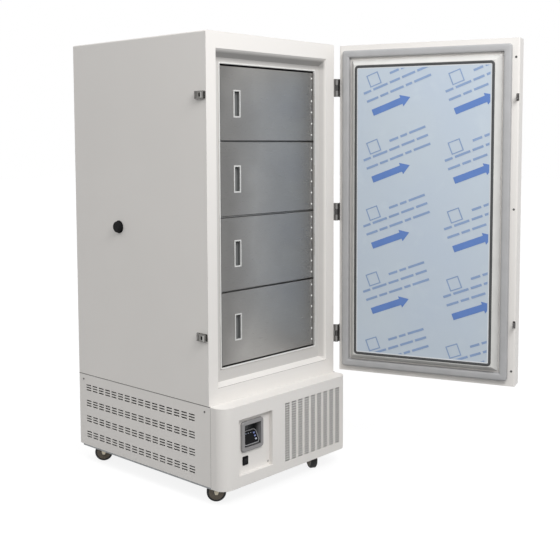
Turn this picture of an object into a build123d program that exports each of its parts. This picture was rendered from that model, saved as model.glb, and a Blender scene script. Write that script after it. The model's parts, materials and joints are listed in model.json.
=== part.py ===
from build123d import *
import math
import os

# Upright ultra low temperature freezer: a foamed upper cabinet with four inner doors behind one main door,
# on a machine base with casters. Millimetres, +Z up, +Y to the back.
# The origin is on the floor, under the middle of the upper cabinet.

# Overall sizes
WIDTH = 740.0
DEPTH = 815.0
UPPER_H = 1400.0
BASE_H = 315.0
FLOOR_GAP = 64.0
BASE_STEP = 77.0
SHEET = 1.5
CORNER_R = 6.0

# Front frame, sloped recess and flat border round the opening
FRAME_T = 2.0
FRAME_SIDE = 50.0
FRAME_END = 62.0
RECESS_DEPTH = 30.0
TAPER_SIDE = 16.0
TAPER_TOP = 30.0
TAPER_BOTTOM = 13.0
BORDER_SIDE = 32.0
BORDER_TOP = 23.0
BORDER_BOTTOM = 52.0
BACK_WALL = 100.0
LINER_T = 1.2

# Evaporator loops round the liner
TUBE_SIDE = 8.0
LOOP_COUNT = 6

# Inner doors on their piano hinge
INNER_DOORS = 4
INNER_DOOR_T = 20.0
INNER_SKIN = 1.2
INNER_CLEAR = 3.0
INNER_END = 7.0
INNER_GAP = 8.0
BARREL_R = 4.0
PIANO_PIN_R = 1.6
FIT = 0.05
LEAF_W = 20.0
LEAF_T = 1.0
KNUCKLE_GAP = 0.4
PULL_W = 38.0
PULL_H = 105.0
PULL_FLANGE = 4.0
PULL_R = 2.0
PULL_DEPTH = 15.0
PULL_WALL = 1.5
PULL_FROM_EDGE = 88.0

# Shelves
SHELF_T = 1.5
SHELF_LIP = 18.0
SHELF_SETBACK = 4.0

# Main door
DOOR_T = 80.0
DOOR_GAP = 18.0
DOOR_OVERHANG = 11.0
DOOR_TOP_DROP = 4.0
DOOR_FOOT = 10.0
DOOR_REST = 108.0
PLUG_CLEAR = 6.0
PLUG_REACH = 13.0
PLUG_TAPER = 20.0
PLUG_WALL = 3.0
PANEL_T = 1.0
PANEL_IN = 9.0
GASKET_IN = 18.0
GASKET_W = 31.0
GASKET_SLACK = 0.3
GASKET_FOOT = 5.0
GASKET_NECK = 5.0

# Main door hinges
HINGE_OUT = 9.0
HINGE_H = 75.0
HINGE_UP = 170.0
HINGE_DOWN = 180.0
HINGE_BARREL_R = 7.5
HINGE_PIN_R = 4.0
HINGE_LEAF = 50.0
HINGE_LEAF_T = 3.0
HINGE_WEB = 2.0
HINGE_NEAR = 5.2

# Flip latches and their keepers
LATCH_UP = 262.0
LATCH_DOWN = 235.0
LATCH_H = 29.0
LATCH_L = 57.0
LATCH_BACK = 3.0
LATCH_PLATE = 3.0
LATCH_PIVOT_BACK = 47.0
LATCH_PIVOT_OUT = 9.0
LATCH_PIN_R = 2.5
LATCH_BARREL_R = 5.0
LATCH_EAR = 3.5
LEVER_T = 5.5
LEVER_SIDE = 0.5
LEVER_PROUD = 2.0
EYE_BACK = 13.0
EYE_L = 8.0
EYE_H = 13.0
TONGUE_T = 3.0
TONGUE_OUT = 5.5
TONGUE_REACH = 13.0
KEEPER_H = 28.0
KEEPER_T = 2.0
KEEPER_EDGE = 0.5
WINDOW_H = 13.0
TOOTH_T = 3.0

# Access port in the left wall
PORT_BACK = 522.0
PORT_LOOP = 2
PORT_OVER_LOOP = 40.5
PORT_BORE_R = 14.5
PORT_TUBE_R = 17.0
PORT_FLANGE_R = 26.0
PORT_FLANGE_T = 3.0
PLUG_HEAD_R = 22.0
PLUG_HEAD_T = 15.0
PLUG_BEVEL = 4.0
PLUG_STEM = 62.0

# Machine base
PANEL_FOOT = 5.0
PANEL_SEAM = 1.0
COVER_START = 8.0
COVER_T = 2.0
COVER_R = 45.0
POST = 30.0
TRAY_T = 3.0
TRAY_NOSE = 30.0
TRAY_NOSE_IN = 8.0
RAIL_T = 2.0
RAIL_DROP = 2.0
RAIL_SHORT = 18.0
CASTER_HEAD = 25.0

# Slits in the side panels: rows of groups, each group a stack of slits
SIDE_ROWS = 4
SIDE_COLUMNS = 16
SIDE_STACK = 3
SIDE_RUN = 4
SLIT_L = 33.0
SLIT_H = 5.0
SLIT_PITCH = 10.7
SIDE_ROW_PITCH = 68.0
SIDE_COLUMN_PITCH = 43.6
SIDE_FIRST_BACK = 80.0
SIDE_FIRST_DOWN = 44.0

# Rear grille and mains inlet
VENT_COLUMNS = 10
VENT_ROWS = 3
VENT_L = 34.0
VENT_H = 8.0
VENT_PITCH_X = 46.0
VENT_PITCH_Z = 60.0
VENT_LEFT = 120.0
VENT_UP = 40.0
INLET_W = 28.0
INLET_H = 20.0
INLET_FLANGE = 11.0
INLET_WALL = 3.0
INLET_DEPTH = 25.0
INLET_IN = 60.0
INLET_UP = 60.0
PRONG_PITCH = 6.0
PRONG_T = 1.0
PRONG_H = 2.0

# Front grille, control pocket, controller and rocker switch
GRILLE_COLUMNS = 9
GRILLE_ROWS = 24
GRILLE_SLIT_L = 28.0
GRILLE_PITCH_X = 39.5
GRILLE_PITCH_Z = 10.0
GRILLE_LEFT = 342.0
GRILLE_DOWN = 44.0
POCKET_LEFT = 82.0
POCKET_W = 186.0
POCKET_DOWN = 54.0
POCKET_H = 218.0
POCKET_DEPTH = 18.0
BEZEL_IN = 26.0
BEZEL_DOWN = 17.0
BEZEL_W = 120.0
BEZEL_H = 118.0
BEZEL_PROUD = 9.0
BEZEL_R = 14.0
BEZEL_BEVEL = 3.0
WINDOW_IN = 15.0
WELL_DEPTH = 30.0
WELL_WALL = 2.0
PAD_RISE = 52.0
PAD_RUN = 27.0
PAD_T = 4.0
KEY_SIDE = 17.0
KEY_W = 9.0
KEY_H = 6.0
KEY_PROUD = 1.6
KEY_BEVEL = 0.6
KEY_PITCH = 12.0
KEY_CLEAR = 0.3
ROCKER_LEFT = 50.0
ROCKER_DOWN = 171.0
ROCKER_W = 29.0
ROCKER_H = 34.0
ROCKER_RIM = 4.0
ROCKER_PROUD = 3.0
ROCKER_TILT = 7.0
ROCKER_CLEAR = 0.6
ROCKER_END = 2.6
ROCKER_PIVOT = 3.0
ROCKER_PIN_R = 2.0
ROCKER_BODY = 22.0
ROCKER_HEEL = 12.0

# Casters
WHEEL_R = 37.5
WHEEL_W = 28.0
AXLE_R = 4.0
KINGPIN_R = 5.0
TRAIL = 20.0
LEG_T = 3.0
LEG_CLEAR = 1.5
CASTER_PLATE = 62.0
CASTER_PLATE_T = 3.0
RACE_R = 22.0
RACE_T = 5.0
CROWN_T = 5.0
CROWN_FRONT = 16.0
CROWN_BACK = 18.0
LEG_FOOT = 9.0
NUT_R = 6.5
NUT_T = 3.0
WHEEL_BEVEL = 4.0
CASTER_SIDE = 66.0
CASTER_INSET = 152.0
CASTER_FRONT = 80.0
CASTER_BACK = 110.0
RUN_GAP = 0.3
CASTER_TURNS = (227.0, 330.0, 227.0, 150.0)

# Machinery
COMPRESSOR_R = 78.0
COMPRESSOR_H = 185.0
COMPRESSOR_FOOT = 4.0
FOOT_MARGIN = 14.0
TERMINAL_W = 52.0
TERMINAL_D = 32.0
TERMINAL_H = 60.0
STUB_R = 7.0
STUB_H = 6.0
STAGE_SIDE = 30.0
STAGE_BACK = 40.0
COIL_W = 300.0
COIL_H = 190.0
COIL_T = 44.0
COIL_ROWS = 3
COIL_SIDE = 24.0
COIL_BACK = 60.0
FIN_COUNT = 12
FIN_T = 1.0
FAN_R = 84.0
FAN_CLEAR = 6.0
FAN_BLADES = 5
FAN_ROOM = 48.0
BLADE_T = 2.0
BLADE_W = 46.0
BLADE_PITCH = 32.0
HUB_R = 20.0
HUB_L = 22.0
HUB_START = 14.0
SHAFT_R = 4.0
SHAFT_START = 18.0
SHROUD_T = 4.0
SHROUD_MARGIN = 20.0
MOTOR_R = 32.0
MOTOR_L = 50.0
MOTOR_ARM = 16.0
TANK_R = 62.0
TANK_H = 165.0
PIPE_R = 5.0
PIPE_RISE = 20.0
BOX_W = 190.0
BOX_D = 110.0
BOX_H = 170.0
BOX_SIDE = 14.0

# Levels and planes that follow from the sizes above
FRONT = -DEPTH / 2
BACK = DEPTH / 2
LEFT = -WIDTH / 2
RIGHT = WIDTH / 2
SEAM = FLOOR_GAP + BASE_H
TOP = SEAM + UPPER_H
MID_Z = SEAM + UPPER_H / 2
BORDER_Y = FRONT + RECESS_DEPTH
OPEN_W = WIDTH - 2 * (FRAME_SIDE + TAPER_SIDE + BORDER_SIDE)
OPEN_BOTTOM = SEAM + FRAME_END + TAPER_BOTTOM + BORDER_BOTTOM
OPEN_TOP = TOP - FRAME_END - TAPER_TOP - BORDER_TOP
OPEN_H = OPEN_TOP - OPEN_BOTTOM
LOOP_PITCH = OPEN_H / LOOP_COUNT
PORT_Z = OPEN_BOTTOM + (PORT_LOOP + 0.5) * LOOP_PITCH + PORT_OVER_LOOP
LINER_FRONT = BORDER_Y + FRAME_T
LINER_BACK = BACK - BACK_WALL
INNER_H = (OPEN_H - 2 * INNER_END - (INNER_DOORS - 1) * INNER_GAP) / INNER_DOORS
PIANO_X = OPEN_W / 2 - LEAF_T
PIANO_Y = BORDER_Y - BARREL_R
RIM_Y = FRONT - DOOR_GAP
DOOR_LEFT = LEFT - DOOR_OVERHANG
DOOR_BOTTOM = SEAM + DOOR_FOOT
DOOR_TOP = TOP - DOOR_TOP_DROP
HINGE_X = RIGHT + HINGE_OUT
HINGE_Y = FRONT - DOOR_GAP / 2
HINGE_TOP = UPPER_H - HINGE_DOWN
HINGE_LEVELS = (HINGE_UP, (HINGE_UP + HINGE_TOP) / 2, HINGE_TOP)
LATCH_LEVELS = (LATCH_UP, UPPER_H - LATCH_DOWN)
COVER_FRONT = FRONT - BASE_STEP
TRAY_Z = 2 * WHEEL_R + CASTER_HEAD
DECK_Z = TRAY_Z + TRAY_T


def block(xs, ys, zs):
    """A box between two values on each axis."""
    spans = [sorted(pair) for pair in (xs, ys, zs)]
    size = [high - low for low, high in spans]
    middle = [(low + high) / 2 for low, high in spans]
    return Pos(*middle) * Box(*size)


def bar(radius, start, end):
    """A round bar between two points on a line along one axis."""
    a, b = Vector(*start), Vector(*end)
    plane = Plane((a + b) / 2, z_dir=b - a)
    return plane * Cylinder(radius, (b - a).length)


def tapered(*sections):
    """A solid through upright rectangles, each given as its width, its lowest and highest z, and its y."""
    faces = []
    for width, low, high, y in sections:
        plane = Plane((0, y, (low + high) / 2), x_dir=(1, 0, 0), z_dir=(0, 1, 0))
        faces.append((plane * Rectangle(width, high - low)).face())
    return loft(faces)


def top_rounded(solid, radius):
    """Round the two upper edges that run from front to back."""
    edges = solid.edges().filter_by(Axis.Y).sort_by(Axis.Z)[-2:]
    return fillet(edges, radius)


def pipe(points):
    """A refrigerant tube along straight runs with brazed square elbows."""
    path = Polyline(*points)
    section = Plane(path @ 0, z_dir=path % 0) * Circle(PIPE_R)
    return sweep(section, path=path, transition=Transition.RIGHT)


def save(name, *pieces):
    """Write one node: each solid of the pieces stays a separate solid."""
    solids = [solid for piece in pieces for solid in piece.solids()]
    shape = solids[0] if len(solids) == 1 else Compound(children=solids)
    export_step(shape, f"parts/{name}.step")


def opened(*pieces):
    """Swing main-door pieces from shut to the rest angle about the hinge line."""
    turn = Pos(HINGE_X, HINGE_Y, 0) * Rot(0, 0, DOOR_REST) * Pos(-HINGE_X, -HINGE_Y, 0)
    return [turn * piece for piece in pieces]


# Upper cabinet

def cabinet_core():
    """What lies inside the wrapper, between the front frame and the back panel."""
    core = block(
        (LEFT + SHEET, RIGHT - SHEET),
        (FRONT + FRAME_T, BACK - SHEET),
        (SEAM + SHEET, TOP - SHEET),
    )
    return top_rounded(core, CORNER_R - SHEET)


def port_axis(x):
    return (x, FRONT + PORT_BACK, PORT_Z)


def recess_solid(grow):
    """The recess and its border, grown by the sheet so that the same shape cuts the foam."""
    width = WIDTH - 2 * FRAME_SIDE + 2 * grow
    low, high = SEAM + FRAME_END - grow, TOP - FRAME_END + grow
    return tapered(
        (width, low, high, FRONT),
        (width - 2 * TAPER_SIDE, low + TAPER_BOTTOM, high - TAPER_TOP, BORDER_Y),
    )


def border_plate():
    half = OPEN_W / 2 + BORDER_SIDE + FRAME_T
    low, high = OPEN_BOTTOM - BORDER_BOTTOM - FRAME_T, OPEN_TOP + BORDER_TOP + FRAME_T
    return block((-half, half), (BORDER_Y, LINER_FRONT), (low, high))


def front_frame():
    plate = block((LEFT, RIGHT), (FRONT, FRONT + FRAME_T), (SEAM, TOP))
    plate = top_rounded(plate, CORNER_R)
    frame = plate + recess_solid(FRAME_T) + border_plate()
    opening = block((-OPEN_W / 2, OPEN_W / 2), (FRONT, LINER_FRONT + FRAME_T), (OPEN_BOTTOM, OPEN_TOP))
    return frame - recess_solid(0) - opening


def liner_box(grow):
    """The space inside the liner, grown by its wall."""
    half = OPEN_W / 2 + grow
    return block(
        (-half, half),
        (LINER_FRONT, LINER_BACK + grow),
        (OPEN_BOTTOM - grow, OPEN_TOP + grow),
    )


def evaporator():
    """Square loops round the liner, joined by an upright header at the back with a riser down to the base."""
    outer = OPEN_W / 2 + LINER_T
    back = LINER_BACK + LINER_T
    front = LINER_FRONT + FRAME_SIDE
    coil = None
    for loop in range(LOOP_COUNT):
        z = OPEN_BOTTOM + LOOP_PITCH * (loop + 0.5)
        band = (z - TUBE_SIDE / 2, z + TUBE_SIDE / 2)
        ring = block((-outer - TUBE_SIDE, outer + TUBE_SIDE), (front, back + TUBE_SIDE), band)
        ring -= block((-outer, outer), (front - 1, back), band)
        coil = ring if coil is None else coil + ring
    header_x = (outer - 6 * TUBE_SIDE, outer - 5 * TUBE_SIDE)
    low = OPEN_BOTTOM + LOOP_PITCH / 2
    coil += block(header_x, (back, back + TUBE_SIDE), (low, OPEN_TOP - LOOP_PITCH / 2))
    return coil + block(header_x, (back, back + TUBE_SIDE), (SEAM - 2 * POST, low))


def shelf(index):
    """A folded sheet between two compartments, with lips down at its front and sides."""
    z = OPEN_BOTTOM + INNER_END + index * (INNER_H + INNER_GAP) - INNER_GAP / 2
    front = BORDER_Y + INNER_DOOR_T + SHELF_SETBACK
    half = OPEN_W / 2
    body = block((-half, half), (front, LINER_BACK), (z - SHELF_LIP, z))
    hollow = block(
        (-half + SHELF_T, half - SHELF_T),
        (front + SHELF_T, LINER_BACK + SHELF_T),
        (z - SHELF_LIP - SHELF_T, z - SHELF_T),
    )
    return body - hollow


def port_sleeve():
    outside = LEFT
    inside = -OPEN_W / 2 - LINER_T
    tube = bar(PORT_TUBE_R, port_axis(outside), port_axis(inside))
    flange = bar(PORT_FLANGE_R, port_axis(outside), port_axis(outside - PORT_FLANGE_T))
    bore = bar(PORT_BORE_R, port_axis(outside - 2 * PORT_FLANGE_T), port_axis(inside + 1))
    return tube + flange - bore


def port_plug():
    """Finger plug: a bevelled head that seats on the flange and a stem in the bore."""
    seat = LEFT - PORT_FLANGE_T
    head = bar(PLUG_HEAD_R, port_axis(seat), port_axis(seat - PLUG_HEAD_T))
    head = chamfer(head.edges().filter_by(GeomType.CIRCLE).sort_by(Axis.X)[0], PLUG_BEVEL)
    stem = bar(PORT_BORE_R - FIT, port_axis(seat), port_axis(seat + PLUG_STEM))
    return head + stem


def build_cabinet():
    wrapper = block((LEFT, RIGHT), (FRONT + FRAME_T, BACK - SHEET), (SEAM, TOP))
    wrapper = top_rounded(wrapper, CORNER_R)
    core = cabinet_core()
    through = bar(PORT_TUBE_R, port_axis(LEFT - SHEET), port_axis(-OPEN_W / 2 - LINER_T))
    below = block((LEFT + SHEET, RIGHT - SHEET), (FRONT, BACK), (SEAM, SEAM + 2 * SHEET))
    save("outer_wrapper", wrapper - core - below - through)

    coil = evaporator()
    floor = block((LEFT + SHEET, RIGHT - SHEET), (FRONT + FRAME_T, BACK - SHEET), (SEAM, SEAM + SHEET))
    save("cabinet_floor", floor - coil)

    back = block((LEFT, RIGHT), (BACK - SHEET, BACK), (SEAM, TOP))
    save("back_panel", top_rounded(back, CORNER_R))

    save("front_frame", front_frame())

    liner = liner_box(LINER_T) - liner_box(0)
    bore = bar(PORT_BORE_R, port_axis(LEFT), port_axis(0))
    save("inner_liner", liner - bore)

    foam = core - recess_solid(FRAME_T) - border_plate() - liner_box(LINER_T) - coil - through
    save("foam_body", foam)

    save("shelves", *[shelf(index) for index in range(1, INNER_DOORS)])
    save("port_sleeve", port_sleeve())
    save("port_plug", port_plug())
    return coil


# Inner doors

def inner_door_bottom(index):
    """Doors are counted from the top."""
    return OPEN_BOTTOM + INNER_END + (INNER_DOORS - 1 - index) * (INNER_H + INNER_GAP)


def barrel(low, high):
    return bar(BARREL_R, (PIANO_X, PIANO_Y, low), (PIANO_X, PIANO_Y, high))


def fixed_leaf(low, high):
    """The leaf that stands on the side wall of the opening, behind the barrel."""
    return block((PIANO_X, OPEN_W / 2), (PIANO_Y, BORDER_Y + LEAF_W), (low, high))


def door_leaf(low, high):
    """The leaf that lies on the inner door's face."""
    return block((PIANO_X, PIANO_X - LEAF_W), (BORDER_Y - LEAF_T, BORDER_Y), (low, high))


def clear_of_knuckle(low, high):
    """Room round a knuckle that turns on the other leaf."""
    room = BARREL_R + KNUCKLE_GAP
    return block(
        (PIANO_X - room, PIANO_X + room),
        (PIANO_Y - room, BORDER_Y + LEAF_T),
        (low - KNUCKLE_GAP, high + KNUCKLE_GAP),
    )


def door_knuckle(index):
    """The middle third of a door's height turns with the door."""
    low = inner_door_bottom(index)
    return low + INNER_H / 3, low + 2 * INNER_H / 3


def pin_bore(low, high):
    return bar(PIANO_PIN_R + FIT, (PIANO_X, PIANO_Y, low - 1), (PIANO_X, PIANO_Y, high + 1))


def inner_door_pan(left, right, base):
    """A sheet folded back on its four sides, open behind."""
    pan = block((left, right), (BORDER_Y, BORDER_Y + INNER_DOOR_T), (base, base + INNER_H))
    hollow = block(
        (left + INNER_SKIN, right - INNER_SKIN),
        (BORDER_Y + INNER_SKIN, BORDER_Y + INNER_DOOR_T + 1),
        (base + INNER_SKIN, base + INNER_H - INNER_SKIN),
    )
    return pan - hollow


def build_inner_doors():
    low = inner_door_bottom(INNER_DOORS - 1)
    high = inner_door_bottom(0) + INNER_H
    strip = fixed_leaf(low, high) + barrel(low, high)
    for index in range(INNER_DOORS):
        strip -= clear_of_knuckle(*door_knuckle(index))
    pin = bar(PIANO_PIN_R, (PIANO_X, PIANO_Y, low), (PIANO_X, PIANO_Y, high))
    save("inner_hinge_strip", strip + pin)

    left = -OPEN_W / 2 + INNER_CLEAR
    right = OPEN_W / 2 - INNER_CLEAR
    for index in range(INNER_DOORS):
        base = inner_door_bottom(index)
        first, last = door_knuckle(index)
        panel = inner_door_pan(left, right, base)
        pull_x = left + PULL_FROM_EDGE
        pull_z = base + INNER_H / 2
        inner_w = PULL_W - 2 * PULL_FLANGE
        inner_h = PULL_H - 2 * PULL_FLANGE
        cup = Pos(pull_x, BORDER_Y + PULL_DEPTH / 2, pull_z) * Box(inner_w, PULL_DEPTH, inner_h)
        panel = panel - cup
        hinge = door_leaf(base, base + INNER_H)
        for span in ((base, first), (last, base + INNER_H)):
            hinge -= clear_of_knuckle(*span)
        hinge = hinge + barrel(first + KNUCKLE_GAP, last - KNUCKLE_GAP) - pin_bore(first, last)
        save(f"inner_door_{index + 1}", panel + hinge)

        flange = Pos(pull_x, BORDER_Y - PULL_WALL / 2, pull_z) * Box(PULL_W, PULL_WALL, PULL_H)
        flange = fillet(flange.edges().filter_by(Axis.Y), PULL_R)
        hollow = Pos(pull_x, BORDER_Y + PULL_DEPTH / 2 - PULL_WALL, pull_z)
        hollow *= Box(inner_w - 2 * PULL_WALL, PULL_DEPTH, inner_h - 2 * PULL_WALL)
        mouth = Pos(0, -PULL_WALL, 0) * hollow
        save(f"inner_door_pull_{index + 1}", flange + cup - hollow - mouth)


# Main door, drawn shut and then swung to its rest angle

def ring(inset_side, inset_end, width, y_low, y_high):
    """A flat rectangular ring on the door, measured in from the cabinet's sides and the door's ends."""
    outer = block(
        (LEFT + inset_side, RIGHT - inset_side),
        (y_low, y_high),
        (DOOR_BOTTOM + inset_end, DOOR_TOP - inset_end),
    )
    inner = block(
        (LEFT + inset_side + width, RIGHT - inset_side - width),
        (y_low - 1, y_high + 1),
        (DOOR_BOTTOM + inset_end + width, DOOR_TOP - inset_end - width),
    )
    return outer - inner


def door_plug(grow, reach):
    """The bevelled raised frame: its section shrinks towards the cabinet."""
    width = WIDTH - 2 * (FRAME_SIDE + PLUG_CLEAR) - 2 * grow
    inset = FRAME_END + PLUG_CLEAR + grow
    low, high = SEAM + inset, TOP - inset
    shrink = reach * PLUG_TAPER / (DOOR_GAP + PLUG_REACH)
    return tapered(
        (width, low, high, RIM_Y),
        (width - 2 * shrink, low + shrink, high - shrink, RIM_Y + reach),
    )


def panel_plate(grow, y_low, y_high):
    half_w = WIDTH / 2 - FRAME_SIDE - PLUG_CLEAR - PLUG_TAPER - PANEL_IN + grow
    half_h = UPPER_H / 2 - FRAME_END - PLUG_CLEAR - PLUG_TAPER - PANEL_IN + grow
    return block((-half_w, half_w), (y_low, y_high), (MID_Z - half_h, MID_Z + half_h))


def keeper(z):
    """A foot on the door's rim and a tongue along the cabinet's side, with a window for the latch tooth."""
    tooth_y = FRONT + LATCH_BACK + TONGUE_REACH / 2
    tongue = block(
        (LEFT - TONGUE_OUT, LEFT - TONGUE_OUT - TONGUE_T),
        (RIM_Y, FRONT + LATCH_BACK + TONGUE_REACH),
        (z - LATCH_H / 3, z + LATCH_H / 3),
    )
    foot = block(
        (DOOR_LEFT + KEEPER_EDGE, LEFT - KEEPER_EDGE),
        (RIM_Y, RIM_Y + KEEPER_T),
        (z - KEEPER_H / 2, z + KEEPER_H / 2),
    )
    window = block(
        (LEFT, LEFT - 2 * LATCH_PIVOT_OUT),
        (tooth_y - TOOTH_T, tooth_y + TOOTH_T),
        (z - WINDOW_H / 2, z + WINDOW_H / 2),
    )
    return tongue + foot - window


def build_main_door():
    outer = block((DOOR_LEFT, RIGHT), (RIM_Y - DOOR_T, RIM_Y), (DOOR_BOTTOM, DOOR_TOP))
    front_edges = outer.edges().filter_by(Axis.X).group_by(Axis.Y)[0]
    outer = fillet(outer.edges().filter_by(Axis.Z) + front_edges, CORNER_R)
    inner = block(
        (DOOR_LEFT + SHEET, RIGHT - SHEET),
        (RIM_Y - DOOR_T + SHEET, RIM_Y - SHEET),
        (DOOR_BOTTOM + SHEET, DOOR_TOP - SHEET),
    )
    inner = fillet(inner.edges().filter_by(Axis.Z), CORNER_R - SHEET)
    window_w = WIDTH - 2 * (FRAME_SIDE + PLUG_CLEAR + PLUG_WALL)
    window_h = UPPER_H - 2 * (FRAME_END + PLUG_CLEAR + PLUG_WALL)
    window = Pos(0, RIM_Y - SHEET / 2, MID_Z) * Box(window_w, SHEET, window_h)

    height = DOOR_GAP + PLUG_REACH
    rebate = panel_plate(PANEL_IN / 2, RIM_Y + height - PANEL_T, RIM_Y + height)
    cavity = door_plug(PLUG_WALL, height - PLUG_WALL)
    plug = door_plug(0, height) - cavity - rebate
    panel = panel_plate(0, RIM_Y + height - PANEL_T, RIM_Y + height)

    end_in = GASKET_IN + DOOR_TOP_DROP
    quarter = GASKET_W / 4
    neck = RIM_Y + GASKET_FOOT
    lip = neck + GASKET_NECK
    gasket = ring(GASKET_IN, end_in, GASKET_W, RIM_Y, neck)
    gasket += ring(GASKET_IN + quarter, end_in + quarter, GASKET_W / 2, neck, lip)
    gasket += ring(GASKET_IN, end_in, GASKET_W, lip, FRONT - GASKET_SLACK)

    pieces = {
        "door_pan": outer - inner - window,
        "door_foam": inner + window + cavity,
        "door_inner_frame": plug,
        "door_inner_panel": panel,
        "door_gasket": gasket,
    }
    for name, piece in pieces.items():
        save(name, *opened(piece))
    save("door_keepers", *opened(*[keeper(SEAM + level) for level in LATCH_LEVELS]))


# Main door hinges

def hinge_leaf(side, z):
    """A plate on the side face: side 1 lies on the cabinet, behind the hinge line, and -1 on the door."""
    start = HINGE_Y + side * HINGE_NEAR
    end = HINGE_Y + side * (HINGE_NEAR + HINGE_LEAF)
    plate = block((RIGHT, RIGHT + HINGE_LEAF_T), (start, end), (z - HINGE_H / 2, z + HINGE_H / 2))
    return chamfer(plate.edges().filter_by(Axis.X), HINGE_LEAF_T)


def hinge_knuckle(side, z_low, z_high):
    """A barrel with the web that carries it from the leaf."""
    near = HINGE_Y + side * (HINGE_BARREL_R + HINGE_WEB)
    tube = bar(HINGE_BARREL_R, (HINGE_X, HINGE_Y, z_low), (HINGE_X, HINGE_Y, z_high))
    return tube + block((RIGHT, HINGE_X), (HINGE_Y + side * HINGE_PIN_R, near), (z_low, z_high))


def build_hinges():
    cabinet_side, door_side = [], []
    third = HINGE_H / 3
    for level in HINGE_LEVELS:
        z = SEAM + level
        bottom = z - HINGE_H / 2
        bore = bar(HINGE_PIN_R + FIT, (HINGE_X, HINGE_Y, bottom), (HINGE_X, HINGE_Y, bottom + HINGE_H))
        fixed = hinge_leaf(1, z) + hinge_knuckle(1, bottom, bottom + third)
        fixed += hinge_knuckle(1, bottom + 2 * third, bottom + HINGE_H)
        pin = bar(HINGE_PIN_R, (HINGE_X, HINGE_Y, bottom), (HINGE_X, HINGE_Y, bottom + HINGE_H))
        cabinet_side.append(fixed + pin)
        swung = hinge_leaf(-1, z) + hinge_knuckle(-1, bottom + third + RUN_GAP, bottom + 2 * third - RUN_GAP)
        door_side.append(swung - bore)
    save("cabinet_hinges", *cabinet_side)
    save("door_hinges", *opened(*door_side))


# Flip latches on the left side

def latch_base(z):
    half = LATCH_H / 2
    front = FRONT + LATCH_BACK
    pivot_x, pivot_y = LEFT - LATCH_PIVOT_OUT, FRONT + LATCH_PIVOT_BACK
    reach = LEFT - LATCH_PIVOT_OUT - LATCH_BARREL_R
    base = block((LEFT, LEFT - LATCH_PLATE), (front, front + LATCH_L), (z - half, z + half))
    base = chamfer(base.edges().filter_by(Axis.X), LATCH_PLATE)
    ear_y = (pivot_y - LATCH_BARREL_R, pivot_y + LATCH_BARREL_R)
    for side in (-1, 1):
        ear_z = (z + side * half, z + side * (half - LATCH_EAR))
        ear = block((LEFT - LATCH_PLATE, reach), ear_y, ear_z)
        base += chamfer(ear.edges().filter_by(Axis.Z).sort_by(Axis.X)[:2], LATCH_BARREL_R / 2)
    return base + bar(LATCH_PIN_R, (pivot_x, pivot_y, z - half), (pivot_x, pivot_y, z + half))


def latch_lever(z):
    """A lever with an eye, on the rear pin; its tooth drops through the keeper's window."""
    inner = LATCH_H / 2 - LATCH_EAR - LEVER_SIDE
    wide = LATCH_H / 2
    front = FRONT + LATCH_BACK
    pivot_x, pivot_y = LEFT - LATCH_PIVOT_OUT, FRONT + LATCH_PIVOT_BACK
    skin = LEFT - LATCH_PIVOT_OUT - LATCH_BARREL_R - LEVER_PROUD
    under = skin + LEVER_T
    tube = bar(LATCH_BARREL_R, (pivot_x, pivot_y, z - inner), (pivot_x, pivot_y, z + inner))
    head = block((under, skin), (front, pivot_y - LATCH_BARREL_R - LEVER_SIDE), (z - wide, z + wide))
    head = chamfer(head.edges().group_by(Axis.X)[0], LEVER_T / 2)
    neck = block((under, skin + LEVER_T / 2), (front + TOOTH_T, pivot_y), (z - inner, z + inner))
    tooth_y = front + TONGUE_REACH / 2
    tooth_x = (under, LEFT - LATCH_PLATE - LEVER_SIDE)
    tooth_h = WINDOW_H / 2 - LEVER_SIDE
    tooth = block(tooth_x, (tooth_y - TOOTH_T / 2, tooth_y + TOOTH_T / 2), (z - tooth_h, z + tooth_h))
    bore = bar(LATCH_PIN_R + FIT, (pivot_x, pivot_y, z - wide), (pivot_x, pivot_y, z + wide))
    eye_y = (front + EYE_BACK, front + EYE_BACK + EYE_L)
    eye = block((skin, under), eye_y, (z - EYE_H / 2, z + EYE_H / 2))
    return head + neck + tube + tooth - bore - eye


def build_latches():
    save("latch_bases", *[latch_base(SEAM + level) for level in LATCH_LEVELS])
    for name, level in zip(("lower", "upper"), LATCH_LEVELS):
        save(f"latch_lever_{name}", latch_lever(SEAM + level))


# Machine base

def slit_boxes(side, run):
    """Through cuts for one side panel; a run of more than one column makes longer slits."""
    cuts = []
    length = (run - 1) * SIDE_COLUMN_PITCH + SLIT_L
    for row in range(SIDE_ROWS):
        for stack in range(SIDE_STACK):
            z = SEAM - SIDE_FIRST_DOWN - row * SIDE_ROW_PITCH - stack * SLIT_PITCH
            for column in range(0, SIDE_COLUMNS, run):
                y = FRONT + SIDE_FIRST_BACK + column * SIDE_COLUMN_PITCH
                cuts.append(block((side - 2 * SHEET, side + 2 * SHEET), (y, y + length), (z - SLIT_H, z)))
    return cuts


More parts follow.
